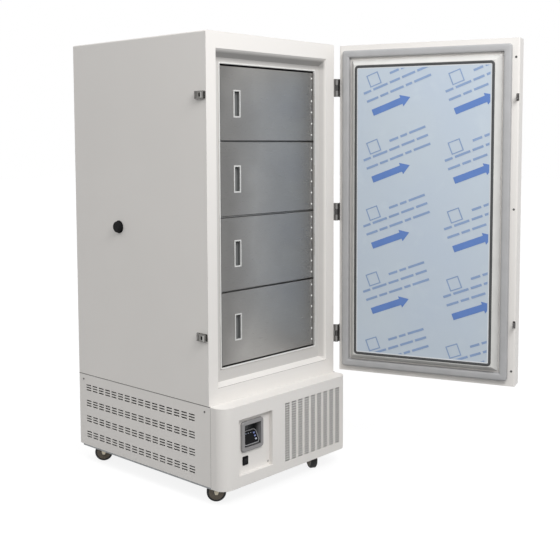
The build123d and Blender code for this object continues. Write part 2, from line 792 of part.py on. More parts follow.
def build_base_shell(coil):
    bottom = FLOOR_GAP + PANEL_FOOT
    for name, outer, inward, run in (("left", LEFT, 1, 1), ("right", RIGHT, -1, SIDE_RUN)):
        inner = outer + inward * SHEET
        panel = block((outer, inner), (FRONT - COVER_START, BACK), (bottom, SEAM - PANEL_SEAM))
        save(f"side_panel_{name}", panel - slit_boxes(outer, run))

    tray = block((LEFT + SHEET, RIGHT - SHEET), (FRONT - COVER_START, BACK - SHEET), (TRAY_Z, DECK_Z))
    nose = (LEFT + TRAY_NOSE_IN, RIGHT - TRAY_NOSE_IN)
    tray += block(nose, (COVER_FRONT + TRAY_NOSE, FRONT), (TRAY_Z, DECK_Z))
    rails = []
    rail_y = (FRONT - COVER_START, BACK - RAIL_SHORT)
    for outer, inward in ((LEFT, 1), (RIGHT, -1)):
        rail_x = (outer + inward * SHEET, outer + inward * (SHEET + RAIL_T))
        rails.append(block(rail_x, rail_y, (FLOOR_GAP - RAIL_DROP, TRAY_Z)))
    save("base_tray", tray, *rails)

    inner_x = RIGHT - SHEET
    y_front, y_back = FRONT + POST / 2, BACK - SHEET
    posts = None
    for x in (-inner_x, inner_x - POST):
        for y in (y_front, y_back - POST):
            post = block((x, x + POST), (y, y + POST), (DECK_Z, SEAM))
            posts = post if posts is None else posts + post
        posts += block((x, x + POST), (y_front, y_back), (SEAM - POST, SEAM))
    for y in (y_front, y_back - POST):
        posts += block((-inner_x, inner_x), (y, y + POST), (SEAM - POST, SEAM))
    save("base_frame", posts - coil)

    build_rear(bottom, inner_x)


def build_rear(bottom, inner_x):
    """The rear grille with its slots, and the mains inlet let into it."""
    skirt = block((-inner_x, inner_x), (BACK - SHEET, BACK), (bottom, SEAM - PANEL_SEAM))
    through = (BACK - 2 * SHEET, BACK + SHEET)
    vents = []
    for column in range(VENT_COLUMNS):
        x = -inner_x + VENT_LEFT + column * VENT_PITCH_X
        for row in range(VENT_ROWS):
            z = DECK_Z + VENT_UP + row * VENT_PITCH_Z
            vents.append(block((x, x + VENT_L), through, (z, z + VENT_H)))
    x = inner_x - INLET_IN
    z = DECK_Z + INLET_UP
    body_w, body_h = INLET_W / 2, INLET_H / 2
    hole = block((x - body_w, x + body_w), through, (z - body_h, z + body_h))
    save("rear_grille", skirt - vents - hole)

    flange_w, flange_h = body_w + INLET_FLANGE, body_h + INLET_FLANGE / 2
    socket_w, socket_h = body_w - INLET_WALL, body_h - INLET_WALL
    socket_y = (BACK + INLET_WALL, BACK - INLET_DEPTH + INLET_WALL)
    prong_y = (BACK - INLET_WALL, BACK - INLET_DEPTH + INLET_WALL)
    flange = block((x - flange_w, x + flange_w), (BACK, BACK + INLET_WALL), (z - flange_h, z + flange_h))
    inlet = chamfer(flange.edges().filter_by(Axis.Y), INLET_WALL)
    inlet += block((x - body_w, x + body_w), (BACK, BACK - INLET_DEPTH), (z - body_h, z + body_h))
    inlet -= block((x - socket_w, x + socket_w), socket_y, (z - socket_h, z + socket_h))
    for step in (-1, 0, 1):
        pin_x = x + step * PRONG_PITCH
        inlet += block((pin_x - PRONG_T, pin_x + PRONG_T), prong_y, (z - PRONG_H, z + PRONG_H))
    save("mains_inlet", inlet)


def pocket_box(grow, depth):
    left = LEFT + POCKET_LEFT
    top = SEAM - POCKET_DOWN
    return block(
        (left - grow, left + POCKET_W + grow),
        (COVER_FRONT - 1, COVER_FRONT + depth + grow),
        (top - POCKET_H - grow, top + grow),
    )


def bezel_frame_box(inset, y_low, y_high, radius):
    left = LEFT + POCKET_LEFT + BEZEL_IN
    top = SEAM - POCKET_DOWN - BEZEL_DOWN
    box = block((left + inset, left + BEZEL_W - inset), (y_low, y_high), (top - BEZEL_H + inset, top - inset))
    return fillet(box.edges().filter_by(Axis.Y), radius)


def rocker_centre():
    x = LEFT + POCKET_LEFT + ROCKER_LEFT
    z = SEAM - POCKET_DOWN - ROCKER_DOWN
    return x, z


def build_front_cover():
    pocket_floor = COVER_FRONT + POCKET_DEPTH
    outline = block((LEFT, RIGHT), (COVER_FRONT, FRONT - COVER_START), (FLOOR_GAP, SEAM))
    outline = fillet(outline.edges().filter_by(Axis.Z).group_by(Axis.Y)[0], COVER_R)
    inside = block(
        (LEFT + COVER_T, RIGHT - COVER_T),
        (COVER_FRONT + COVER_T, FRONT),
        (FLOOR_GAP - 1, SEAM - COVER_T),
    )
    inside = fillet(inside.edges().filter_by(Axis.Z).group_by(Axis.Y)[0], COVER_R - COVER_T)
    cover = outline - inside
    ledge = (LEFT + COVER_T, RIGHT - COVER_T)
    cover += block(ledge, (FRONT - COVER_START, FRONT + POST / 2), (SEAM - COVER_T, SEAM))
    cover = cover + (pocket_box(COVER_T, POCKET_DEPTH) & outline) - pocket_box(0, POCKET_DEPTH)
    through = (COVER_FRONT - COVER_T, COVER_FRONT + 2 * COVER_T)
    cuts = []
    for column in range(GRILLE_COLUMNS):
        x = LEFT + GRILLE_LEFT + column * GRILLE_PITCH_X
        for row in range(GRILLE_ROWS):
            z = SEAM - GRILLE_DOWN - row * GRILLE_PITCH_Z
            cuts.append(block((x, x + GRILLE_SLIT_L), through, (z - SLIT_H, z)))
    behind = pocket_floor + 2 * COVER_T
    well = bezel_frame_box(WINDOW_IN - WELL_WALL, COVER_FRONT, behind, WINDOW_IN - WELL_WALL)
    x, z = rocker_centre()
    hole_w, hole_h = (ROCKER_W - ROCKER_RIM) / 2, (ROCKER_H - ROCKER_RIM) / 2
    rocker_hole = block((x - hole_w, x + hole_w), (COVER_FRONT, behind), (z - hole_h, z + hole_h))
    save("front_cover", cover - cuts - well - rocker_hole)


def pad_plane():
    """The sloped key panel's face: it leans back from the bezel's lower edge."""
    left = LEFT + POCKET_LEFT + BEZEL_IN + WINDOW_IN
    width = BEZEL_W - 2 * WINDOW_IN
    front = COVER_FRONT + POCKET_DEPTH - BEZEL_PROUD / 2
    foot = SEAM - POCKET_DOWN - BEZEL_DOWN - BEZEL_H + WINDOW_IN
    slope = Vector(0, PAD_RUN, PAD_RISE)
    middle = Vector(left + width / 2, front, foot + PAD_T) + slope / 2
    return Plane(middle, x_dir=(1, 0, 0), z_dir=Vector(0, -PAD_RISE, PAD_RUN)), width, slope.length


def key_places():
    """Places on the sloped panel, from the lowest key up."""
    _, width, _ = pad_plane()
    return [(width / 2 - KEY_SIDE, (step - 1) * KEY_PITCH) for step in range(3)]


def build_controller():
    floor = COVER_FRONT + POCKET_DEPTH
    front = floor - BEZEL_PROUD
    bezel = bezel_frame_box(0, front, floor, BEZEL_R)
    bezel = chamfer(bezel.edges().group_by(Axis.Y)[0], BEZEL_BEVEL)
    bezel += bezel_frame_box(WINDOW_IN - WELL_WALL, floor, floor + WELL_DEPTH, WINDOW_IN - WELL_WALL)
    bezel -= bezel_frame_box(WINDOW_IN, front, floor + WELL_DEPTH - WELL_WALL, WELL_WALL)
    save("controller_bezel", bezel)

    plane, width, length = pad_plane()
    plate = plane * Pos(0, 0, -PAD_T / 2) * Box(width, length, PAD_T)
    holes = []
    for x, y in key_places():
        holes.append(plane * Pos(x, y, 0) * Box(KEY_W + 2 * KEY_CLEAR, KEY_H + 2 * KEY_CLEAR, 3 * PAD_T))
    save("key_panel", plate - holes)
    for name, (x, y) in zip(("down", "up", "set"), key_places()):
        cap = Pos(x, y, (KEY_PROUD - PAD_T) / 2) * Box(KEY_W, KEY_H, KEY_PROUD + PAD_T)
        cap = chamfer(cap.edges().group_by(Axis.Z)[-1], KEY_BEVEL)
        save(f"{name}_key", plane * cap)

    build_rocker(floor)


def build_rocker(floor):
    """A framed switch: its rocker turns on a pin across the frame."""
    x, z = rocker_centre()
    half_w, half_h = ROCKER_W / 2, ROCKER_H / 2
    hole_w, hole_h = half_w - ROCKER_RIM / 2, half_h - ROCKER_RIM / 2
    in_w, in_h = half_w - ROCKER_RIM, half_h - ROCKER_RIM
    front = floor - ROCKER_PROUD
    back = floor + ROCKER_BODY
    frame = block((x - half_w, x + half_w), (front, floor), (z - half_h, z + half_h))
    frame = chamfer(frame.edges().filter_by(Axis.Y), ROCKER_RIM / 2)
    frame += block((x - hole_w, x + hole_w), (floor, back), (z - hole_h, z + hole_h))
    frame -= block((x - in_w, x + in_w), (front, back - ROCKER_RIM / 2), (z - in_h, z + in_h))
    pivot_y = floor + ROCKER_PIVOT
    frame += bar(ROCKER_PIN_R, (x - in_w, pivot_y, z), (x + in_w, pivot_y, z))
    save("rocker_frame", frame)

    reach = in_h - ROCKER_END
    rise = 2 * math.tan(math.radians(ROCKER_TILT)) * reach
    face = front - ROCKER_CLEAR
    heel = floor + ROCKER_HEEL
    outline = Polyline(
        (face, z),
        (face - rise, z + reach),
        (pivot_y, z + reach),
        (heel, z + ROCKER_PIVOT),
        (heel, z - ROCKER_PIVOT),
        (pivot_y, z - reach),
        (face, z - reach),
        close=True,
    )
    side = in_w - ROCKER_CLEAR
    rocker = extrude(Plane.YZ.offset(x - side) * make_face(outline), 2 * side)
    save("power_rocker", rocker - bar(ROCKER_PIN_R + FIT, (x - in_w, pivot_y, z), (x + in_w, pivot_y, z)))


# Casters

def caster_spots():
    """Front left, front right, back left, back right; the front right one stands further in."""
    x = RIGHT - CASTER_SIDE
    front, back = COVER_FRONT + CASTER_FRONT, BACK - CASTER_BACK
    return [(-x, front), (RIGHT - CASTER_INSET, front), (-x, back), (x, back)]


def fork_leg(side, crown_top, crown_low):
    """One cheek of the fork: it narrows from the crown down to the axle."""
    start = side * (WHEEL_W / 2 + LEG_CLEAR)
    plane = Plane.YZ.offset(min(start, start + side * LEG_T))
    outline = Polyline(
        (-CROWN_BACK, crown_top),
        (CROWN_FRONT, crown_top),
        (CROWN_FRONT, crown_low),
        (-TRAIL + LEG_FOOT, WHEEL_R),
        (-TRAIL + LEG_FOOT / 2, WHEEL_R - LEG_FOOT),
        (-TRAIL - LEG_FOOT / 2, WHEEL_R - LEG_FOOT),
        (-TRAIL - LEG_FOOT, WHEEL_R),
        close=True,
    )
    return extrude(plane * make_face(outline), LEG_T)


def axle_bar(radius, start, end):
    return bar(radius, (start, -TRAIL, WHEEL_R), (end, -TRAIL, WHEEL_R))


def axle_nut(side, outer):
    plane = Plane((side * outer, -TRAIL, WHEEL_R), z_dir=(side, 0, 0))
    return extrude(plane * RegularPolygon(NUT_R, 6), NUT_T)


def caster_wheel():
    wheel = axle_bar(WHEEL_R, -WHEEL_W / 2, WHEEL_W / 2)
    wheel = chamfer(wheel.edges().filter_by(GeomType.CIRCLE), WHEEL_BEVEL)
    return wheel - axle_bar(AXLE_R + FIT, -WHEEL_W, WHEEL_W)


def build_casters():
    race_low = TRAY_Z - CASTER_PLATE_T - RACE_T
    crown_top = race_low - RUN_GAP
    crown_low = crown_top - CROWN_T
    nut_top = crown_low - RUN_GAP
    plates = []
    for x, y in caster_spots():
        plate = block(
            (x - CASTER_PLATE / 2, x + CASTER_PLATE / 2),
            (y - CASTER_PLATE / 2, y + CASTER_PLATE / 2),
            (TRAY_Z - CASTER_PLATE_T, TRAY_Z),
        )
        plate = chamfer(plate.edges().filter_by(Axis.Z), CASTER_PLATE / 8)
        plate += bar(RACE_R, (x, y, TRAY_Z - CASTER_PLATE_T), (x, y, race_low))
        plate += bar(KINGPIN_R, (x, y, race_low), (x, y, nut_top))
        plate += Pos(x, y, nut_top - NUT_T) * extrude(RegularPolygon(KINGPIN_R + NUT_T, 6), NUT_T)
        plates.append(plate)
    save("caster_plates", *plates)

    outer = WHEEL_W / 2 + LEG_CLEAR + LEG_T
    crown = block((-outer, outer), (-CROWN_BACK, CROWN_FRONT), (crown_low, crown_top))
    fork = chamfer(crown.edges().filter_by(Axis.Z), LEG_T - 1)
    for side in (-1, 1):
        fork += fork_leg(side, crown_top, crown_low) + axle_nut(side, outer)
    fork = fork + axle_bar(AXLE_R, -outer, outer) - bar(KINGPIN_R + FIT, (0, 0, crown_low), (0, 0, crown_top))
    wheel = caster_wheel()
    for index, ((x, y), turn) in enumerate(zip(caster_spots(), CASTER_TURNS)):
        place = Pos(x, y, 0) * Rot(0, 0, turn)
        save(f"caster_fork_{index + 1}", place * fork)
        save(f"caster_wheel_{index + 1}", place * wheel)


# Machinery behind the base panels

def compressor(x, y):
    """A welded steel can on a foot plate, with a terminal box behind and a discharge stub on top."""
    low = DECK_Z + COMPRESSOR_FOOT
    can = bar(COMPRESSOR_R, (x, y, low), (x, y, low + COMPRESSOR_H))
    can = chamfer(can.edges().filter_by(GeomType.CIRCLE), COMPRESSOR_R / 3)
    plate = COMPRESSOR_R + FOOT_MARGIN
    foot = block((x - plate, x + plate), (y - plate, y + plate), (DECK_Z, low))
    foot = chamfer(foot.edges().filter_by(Axis.Z), FOOT_MARGIN)
    back = y + COMPRESSOR_R
    box_z = low + COMPRESSOR_H / 2
    box = block(
        (x - TERMINAL_W / 2, x + TERMINAL_W / 2),
        (back - TERMINAL_D / 2, back + TERMINAL_D / 2),
        (box_z - TERMINAL_H / 2, box_z + TERMINAL_H / 2),
    )
    top = low + COMPRESSOR_H
    return can + foot + box + bar(STUB_R, (x, y, top - STUB_H), (x, y, top + STUB_H))


def condenser(x, y):
    """Upright fins on cross tubes, with a header at the right."""
    left, right = x - COIL_W / 2, x + COIL_W / 2
    pitch = (COIL_W - FIN_T) / (FIN_COUNT - 1)
    header_x = (right + TUBE_SIDE, right + 2 * TUBE_SIDE)
    finned = block(header_x, (y - TUBE_SIDE, y + TUBE_SIDE), (DECK_Z, DECK_Z + COIL_H))
    for row in range(COIL_ROWS):
        z = DECK_Z + (row + 0.5) * COIL_H / COIL_ROWS
        tube_z = (z - TUBE_SIDE / 2, z + TUBE_SIDE / 2)
        finned += block((left - TUBE_SIDE, right + TUBE_SIDE), (y - TUBE_SIDE / 2, y + TUBE_SIDE / 2), tube_z)
    for fin in range(FIN_COUNT):
        start = left + fin * pitch
        finned += block((start, start + FIN_T), (y - COIL_T / 2, y + COIL_T / 2), (DECK_Z, DECK_Z + COIL_H))
    return finned


def shroud_and_motor(x, y, z):
    """A plate behind the fins with a round mouth, and a motor on a cross arm behind it."""
    half = FAN_R + SHROUD_MARGIN
    plate = block((x - half, x + half), (y, y + SHROUD_T), (DECK_Z, DECK_Z + COIL_H))
    plate -= bar(FAN_R + FAN_CLEAR, (x, y, z), (x, y + SHROUD_T, z))
    arm_y = y + FAN_ROOM
    arm_z = (z - MOTOR_ARM / 2, z + MOTOR_ARM / 2)
    plate += block((x - half, x + half), (arm_y, arm_y + SHROUD_T), arm_z)
    for side in (-1, 1):
        plate += block((x + side * half, x + side * (half - SHROUD_T)), (y, arm_y), arm_z)
    motor = bar(MOTOR_R, (x, arm_y + SHROUD_T, z), (x, arm_y + SHROUD_T + MOTOR_L, z))
    motor = chamfer(motor.edges().filter_by(GeomType.CIRCLE).sort_by(Axis.Y)[-1], MOTOR_R / 4)
    return plate + motor + bar(SHAFT_R, (x, arm_y, z), (x, y + SHAFT_START, z))


def fan(x, y, z):
    """Flat pitched blades on a hub that has the shaft's bore."""
    hub = bar(HUB_R, (x, y + HUB_START, z), (x, y + HUB_START + HUB_L, z))
    middle = y + HUB_START + HUB_L / 2
    root = HUB_R * 0.8
    for step in range(FAN_BLADES):
        blade = Pos((root + FAN_R) / 2, 0, 0) * Rot(BLADE_PITCH, 0, 0) * Box(FAN_R - root, BLADE_T, BLADE_W)
        hub += Pos(x, middle, z) * Rot(0, step * 360 / FAN_BLADES, 0) * blade
    return hub - bar(SHAFT_R + FIT, (x, y + SHAFT_START - RUN_GAP, z), (x, y + HUB_START + HUB_L, z))


def fan_axis():
    """Where the fan's axis meets the shroud."""
    x = RIGHT - SHEET - POST - COIL_SIDE - COIL_W / 2
    return x, FRONT + COIL_BACK + COIL_T, DECK_Z + COIL_H / 2


def build_machinery(coil):
    stage_y = BACK - SHEET - POST - STAGE_BACK - COMPRESSOR_R
    stage_x = RIGHT - SHEET - POST - STAGE_SIDE - COMPRESSOR_R
    save("high_stage_compressor", compressor(stage_x, stage_y))
    save("low_stage_compressor", compressor(-stage_x, stage_y))

    x, y, z = fan_axis()
    coil_y = y - COIL_T / 2
    save("condenser", condenser(x, coil_y))
    save("fan_motor", shroud_and_motor(x, y, z))
    save("fan_blade", fan(x, y, z))
    tank_top = DECK_Z + TANK_H
    save("heat_exchanger", bar(TANK_R, (0, stage_y, DECK_Z), (0, stage_y, tank_top)))

    stub_z = DECK_Z + COMPRESSOR_FOOT + COMPRESSOR_H + STUB_H
    run_z = stub_z + PIPE_RISE
    header_x = x + COIL_W / 2 + 1.5 * TUBE_SIDE
    discharge = pipe([
        (stage_x, stage_y, stub_z),
        (stage_x, stage_y, run_z),
        (header_x, stage_y, run_z),
        (header_x, coil_y, run_z),
        (header_x, coil_y, DECK_Z + COIL_H),
    ])
    cascade = pipe([
        (-stage_x, stage_y, stub_z),
        (-stage_x, stage_y, run_z),
        (0, stage_y, run_z),
        (0, stage_y, tank_top),
    ])
    save("refrigerant_tubing", coil, discharge, cascade)

    box_x = LEFT + SHEET + POST + BOX_SIDE
    box_y = FRONT + COIL_BACK
    box = block((box_x, box_x + BOX_W), (box_y, box_y + BOX_D), (DECK_Z, DECK_Z + BOX_H))
    save("electrical_box", chamfer(box.edges().filter_by(Axis.Z), SHEET))


os.makedirs("parts", exist_ok=True)
evaporator_coil = build_cabinet()
build_inner_doors()
build_main_door()
build_hinges()
build_latches()
build_base_shell(evaporator_coil)
build_front_cover()
build_controller()
build_casters()
build_machinery(evaporator_coil)
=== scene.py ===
import json
import math

import bmesh
import bpy
from mathutils import Matrix, Vector


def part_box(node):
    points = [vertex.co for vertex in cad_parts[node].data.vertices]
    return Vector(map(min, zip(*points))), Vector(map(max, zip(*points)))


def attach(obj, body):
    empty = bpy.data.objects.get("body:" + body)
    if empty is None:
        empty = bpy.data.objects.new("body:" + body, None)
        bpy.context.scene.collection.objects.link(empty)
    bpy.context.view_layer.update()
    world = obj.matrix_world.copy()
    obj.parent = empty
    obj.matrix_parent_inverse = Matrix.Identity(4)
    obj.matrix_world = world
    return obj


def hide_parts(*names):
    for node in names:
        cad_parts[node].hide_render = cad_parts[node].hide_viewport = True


# The looks of an upright ultra low temperature freezer, in metres, in the frame of its CAD model.

# Camera, fitted to the corners of the cabinet and of the open door
CAMERA_AT = (-2.7387, -2.9319, 1.3619)
CAMERA_YAW = 47.638
CAMERA_PITCH = -4.519
CAMERA_ROLL = -0.174
CAMERA_LENS = 60.25
CAMERA_SENSOR = 36.0
CAMERA_SHIFT_Y = -0.11

# Light: the sky's strength at the horizon and overhead, one round lamp, and the floor
SKY_LOW = 0.65
SKY_HIGH = 1.05
KEY_POWER = 59.0
KEY_AT = (-0.9, -2.7, 3.0)
KEY_SIZE = 1.4
KEY_AIM = (0.1, -0.4, 0.9)
FLOOR_SPAN = 60.0
FLOOR_GREY = 0.20
FLOOR_GLOW = 0.85
WHITE_LIGHT = (1.0, 1.0, 1.0, 1.0)

# Screws, bolts and rivets: head radius and height
PANEL_SCREW = (0.0042, 0.0019)
RIM_SCREW = (0.0045, 0.0014)
HINGE_SCREW = (0.0040, 0.0012)
CASTER_BOLT = (0.0058, 0.0040)
RIVET = (0.0042, 0.0018)

# Profiles of the heads from the base up, and the bars of the cross slot, as shares of radius and height
SCREW_PROFILE = ((1.0, 0.0), (1.0, 0.35), (0.82, 0.85), (0.62, 1.0), (0.58, 0.98), (0.50, 0.55))
SCREW_SIDES = 18
SLOT_HALF = (0.60, 0.16)
SLOT_RISE = (0.50, 0.72)
SLOT_TAPER = 0.8
RIVET_PROFILE = ((1.0, 0.0), (0.92, 0.5), (0.6, 0.9), (0.2, 1.0))
RIVET_SIDES = 16

# Places of the screws and rivets, measured in from the edges of what they hold
RIM_SCREW_DOWN = 0.075
RIM_SCREW_OVER_MIDDLE = 0.02
RIM_SCREW_UP = 0.062
HINGE_SCREW_IN = 0.016
HINGE_SCREW_LEVELS = (-0.025, 0.0, 0.025)
PANEL_SCREW_DOWN = 0.022
SIDE_SCREW_FRONT = 0.032
SIDE_SCREW_BACK = 0.030
REAR_SCREW_IN = 0.03
BACK_SCREW_IN = (0.015, 0.03)
BACK_SCREW_ROWS = 6
POCKET_SCREW_ASIDE = 0.032
POCKET_SCREW_DOWN = 0.034
CASTER_BOLT_ASIDE = 0.022
RIVET_IN = 0.0165
RIVETS_PER_DOOR = 6

# What the CAD has: sheets, leaves and plates, how far pieces stand proud, and the least gap between hinges
LINER_T = 0.0012
FRAME_T = 0.002
COVER_T = 0.002
POST = 0.032
HINGE_LEAF_T = 0.003
HINGES_APART = 0.2
CASTER_PLATE_T = 0.003
PULL_PROUD = 0.0005
ROCKER_PROUD = 0.003

# Steps of a rounded corner, its least radius, and the corners of thin boards
CORNER_STEPS = 5
CORNER_LEAST = 0.0008
SLAB_CORNER = 0.002
SLAB_STEPS = 4

# Film on the door's inner panel, with a bare strip left round it and a slight ripple
FILM_INSET = 0.009
FILM_LIFT = 0.0004
FILM_COLUMNS = 24
FILM_ROWS = 48
FILM_RIPPLE = 0.35
FILM_WAVES = ((17, 3), (-5, 9))

# Print on the film: groups in columns and rows, each an arrow under three lines of dashes and an open square
PRINT_LIFT = 0.0003
PRINT_EDGE = 0.002
PRINT_LEAN = 21.0
PRINT_FIRST = (0.065, 0.182)
PRINT_PITCH = (0.345, 0.277)
PRINT_COLUMNS = range(-1, 3)
PRINT_ROWS = range(-1, 6)
PRINT_ARROW = (0.172, 0.050)
ARROW_SHAFT = 0.27
ARROW_HEAD = 0.80
PRINT_LINES = (
    ((-0.023, 0.041), (0.052, 0.036, 0.060, 0.028, 0.074)),
    ((-0.037, 0.075), (0.034, 0.066, 0.046, 0.058, 0.050)),
    ((0.075, 0.156), (0.040, 0.030, 0.072)),
)
PRINT_DASH_H = 0.0095
PRINT_DASH_GAP = 0.010
PRINT_SQUARE_AT = (0.005, 0.137)
PRINT_SQUARE = 0.026
PRINT_SQUARE_LINE = 0.0045

# Gasket profile: inset from its outer edge and height over the rim, as shares of its width and height
GASKET_PROFILE = (
    (0.00, 0.00), (0.02, 0.12), (0.08, 0.27), (0.18, 0.36), (0.18, 0.50), (0.05, 0.60), (0.02, 0.78),
    (0.09, 0.95), (0.30, 1.00), (0.70, 1.00), (0.91, 0.95), (0.98, 0.78), (0.95, 0.60), (0.82, 0.50),
    (0.82, 0.36), (0.92, 0.27), (0.98, 0.12), (1.00, 0.00),
)
GASKET_CORNER = 0.012
GASKET_RUNS = 36
GASKET_DIP = 0.0011
GASKET_WAVES = ((21.0, 2.0), (5.0, 13.0))
GASKET_FINE_SHARE = 0.5
GASKET_FINE_WAVE = 47.0

# Dark bead round the inner panel, its black also painted shade of the rebate gap: its radius, height and overhang
# as shares of the radius
PANEL_BEAD_CORNER = 0.016
PANEL_BEAD_R = 0.0055
PANEL_BEAD_SIDES = 10
PANEL_BEAD_RISE = 0.4
PANEL_BEAD_OUT = 1.1

# White trim round the opening: its width and height, and the room that it leaves for the piano hinge
TRIM = (0.0075, 0.0030)
TRIM_PROFILE = ((0.0, 0.0), (0.08, 0.6), (0.3, 1.0), (0.7, 1.0), (0.92, 0.6), (1.0, 0.0))
TRIM_HINGE = 0.0045

# Recess of the front frame, greyer inside as painted shade: where it starts and is full, by depth, under the top
# and over the bottom, its share at the sides, the shaded tone, and the recess's edge from the frame's sides and
# bottom
RECESS_DEPTH = (0.004, 0.014)
RECESS_COVE = (0.110, 0.095)
RECESS_SILL = (0.0745, 0.0765)
RECESS_SIDE = 0.45
RECESS_SHADE_TONE = 0.42
RECESS_EDGE = (0.050, 0.062)

# Distances over which other finishes change: the bezel's well, darkened as painted shade, the pulls' cups, grey
# and darkened as painted shade, the inner doors' edges, darkened as a painted reflection, and the radii of a
# caster wheel's tread and hub
BEZEL_WELL = (0.010, 0.030)
PULL_CUP = (0.0015, 0.004)
DOOR_REFLECTION_FREE = 0.20
DOOR_REFLECTION_HINGE = 0.14
WHEEL_TREAD = (0.0285, 0.0295)
WHEEL_HUB = (0.0125, 0.0115)
WHEEL_RIDGES = 900.0

# Controller: silver rim of the key panel, marks as shares of the panel's half sizes, display window
RIM = (0.0042, 0.0012)
RIM_PROFILE = ((0.0, 0.0), (0.2, 1.0), (0.8, 1.0), (1.0, 0.0))
RIM_INSET = 0.001
RIM_CORNER = 0.014
MARKS = 4
MARK_FIRST = (-0.62, 0.55)
MARK_PITCH = 0.30
MARK_HALF = (0.0022, 0.00132)
WINDOW_BACK = 0.0335
WINDOW_IN = 0.015
WINDOW_T = 0.003
WINDOW_UNDER = 0.003

# Filter pads behind the grilles, near-black also as painted shade of the space behind: the front one by the
# cover's edges, gaps to what is near them
FILTER_T = 0.006
FILTER_GAP = 0.0001
GRILLE_IN = (0.325, 0.038)
GRILLE_DOWN = (0.034, 0.030)
INLET_GAP = 0.004
TRAY_GAP = 0.001

# Half-round dark beads along the seams of the base, standing in as painted shade for the seam lines: width and
# height
BEAD_STEPS = 6
SEAM_BEAD = (0.0028, 0.0006)
SEAM_LIFT = 0.0005
JOINT_BEAD = (0.0014, 0.0004)

# Latch levers: a finger lip near the front end, brighter as a painted highlight, and a dark seam near the pivot as
# painted shade
LATCH_LIP = (0.0065, 0.0016)
LATCH_LIP_BACK = 0.0068
LATCH_SEAM = (0.0042, 0.0005)
LATCH_SEAM_AHEAD = 0.0155
LATCH_INSET = 0.0038

# Sockets of a Mix node that mixes colours
MIX_FACTOR, MIX_BELOW, MIX_ABOVE, MIX_RESULT = 0, 6, 7, 2

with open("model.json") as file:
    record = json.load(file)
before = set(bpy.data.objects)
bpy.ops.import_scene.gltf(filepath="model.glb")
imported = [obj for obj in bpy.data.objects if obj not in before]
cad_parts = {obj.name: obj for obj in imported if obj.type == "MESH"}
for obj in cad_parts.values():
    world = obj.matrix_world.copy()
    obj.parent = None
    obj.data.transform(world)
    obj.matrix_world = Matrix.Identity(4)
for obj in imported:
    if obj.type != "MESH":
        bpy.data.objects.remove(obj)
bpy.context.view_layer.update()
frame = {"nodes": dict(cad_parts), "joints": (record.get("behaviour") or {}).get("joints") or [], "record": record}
nodes = frame["nodes"]
joints = {joint["name"]: joint for joint in frame["joints"]}


# Finishes

class Finish:
    """A material with one Principled shader, varied by textures in the part's own coordinates."""

    def __init__(self, name, colour, roughness, metallic=0.0, coat=0.0):
        self.material = bpy.data.materials.new(name)
        self.material.use_nodes = True
        self.tree = self.material.node_tree
        self.shader = self.tree.nodes["Principled BSDF"]
        self.colour = (*colour, 1.0)
        self.set("Base Color", self.colour)
        self.set("Roughness", roughness)
        self.set("Metallic", metallic)
        self.set("Coat Weight", coat)
        self.where = self.add("ShaderNodeTexCoord").outputs["Object"]

    def add(self, kind, **settings):
        node = self.tree.nodes.new(kind)
        for key, value in settings.items():
            setattr(node, key, value)
        return node

    def set(self, socket, value):
        self.shader.inputs[socket].default_value = value

    def link(self, source, target):
        self.tree.links.new(source, target)

    def moved(self, scale=(1, 1, 1), at=(0, 0, 0), turn=(0, 0, 0)):
        """The part's coordinates from another place, turned and stretched."""
        node = self.add("ShaderNodeMapping", vector_type="TEXTURE")
        node.inputs["Location"].default_value = at
        node.inputs["Rotation"].default_value = turn
        node.inputs["Scale"].default_value = [1 / value for value in scale]
        self.link(self.where, node.inputs["Vector"])
        return node.outputs["Vector"]

    def split(self, place):
        """The X, Y and Z of coordinates."""
        node = self.add("ShaderNodeSeparateXYZ")
        self.link(place, node.inputs["Vector"])
        return [node.outputs[axis] for axis in "XYZ"]

    def noise(self, scale, detail=3.0, stretch=(1, 1, 1)):
        node = self.add("ShaderNodeTexNoise")
        node.inputs["Scale"].default_value = scale
        node.inputs["Detail"].default_value = detail
        self.link(self.moved(stretch), node.inputs["Vector"])
        return node.outputs["Fac"]

    def math(self, operation, first, second=0.0):
        node = self.add("ShaderNodeMath", operation=operation)
        for socket, value in zip(node.inputs, (first, second)):
            if isinstance(value, (int, float)):
                socket.default_value = value
            else:
                self.link(value, socket)
        return node.outputs[0]

    def ramp(self, mask, start, end, low=0.0, high=1.0):
        """The mask's values from start to end, spread from low to high."""
        node = self.add("ShaderNodeMapRange")
        for key, value in (("From Min", start), ("From Max", end), ("To Min", low), ("To Max", high)):
            node.inputs[key].default_value = value
        self.link(mask, node.inputs["Value"])
        return node.outputs["Result"]

    def tint(self, mask, colour):
        """Another colour where the mask is high, over what is there."""
        node = self.add("ShaderNodeMix", data_type="RGBA")
        before = self.shader.inputs["Base Color"]
        if before.is_linked:
            self.link(before.links[0].from_socket, node.inputs[MIX_BELOW])
        else:
            node.inputs[MIX_BELOW].default_value = self.colour
        node.inputs[MIX_ABOVE].default_value = (*colour, 1.0)
        self.link(mask, node.inputs[MIX_FACTOR])
        self.link(node.outputs[MIX_RESULT], before)

    def polish(self, mask, low, high):
        """Roughness that follows the mask from low to high."""
        self.link(self.ramp(mask, 0.3, 0.7, low, high), self.shader.inputs["Roughness"])

    def relief(self, mask, height, rounding=0.0):
        """Fine bumps, on edges that look rounded where a rounding is given."""
        bump = self.add("ShaderNodeBump")
        bump.inputs["Strength"].default_value = 1.0
        bump.inputs["Distance"].default_value = height
        self.link(mask, bump.inputs["Height"])
        if rounding:
            edge = self.add("ShaderNodeBevel", samples=4)
            edge.inputs["Radius"].default_value = rounding
            self.link(edge.outputs["Normal"], bump.inputs["Normal"])
        self.link(bump.outputs["Normal"], self.shader.inputs["Normal"])


def shaded(colour, share):
    return [value * share for value in colour]


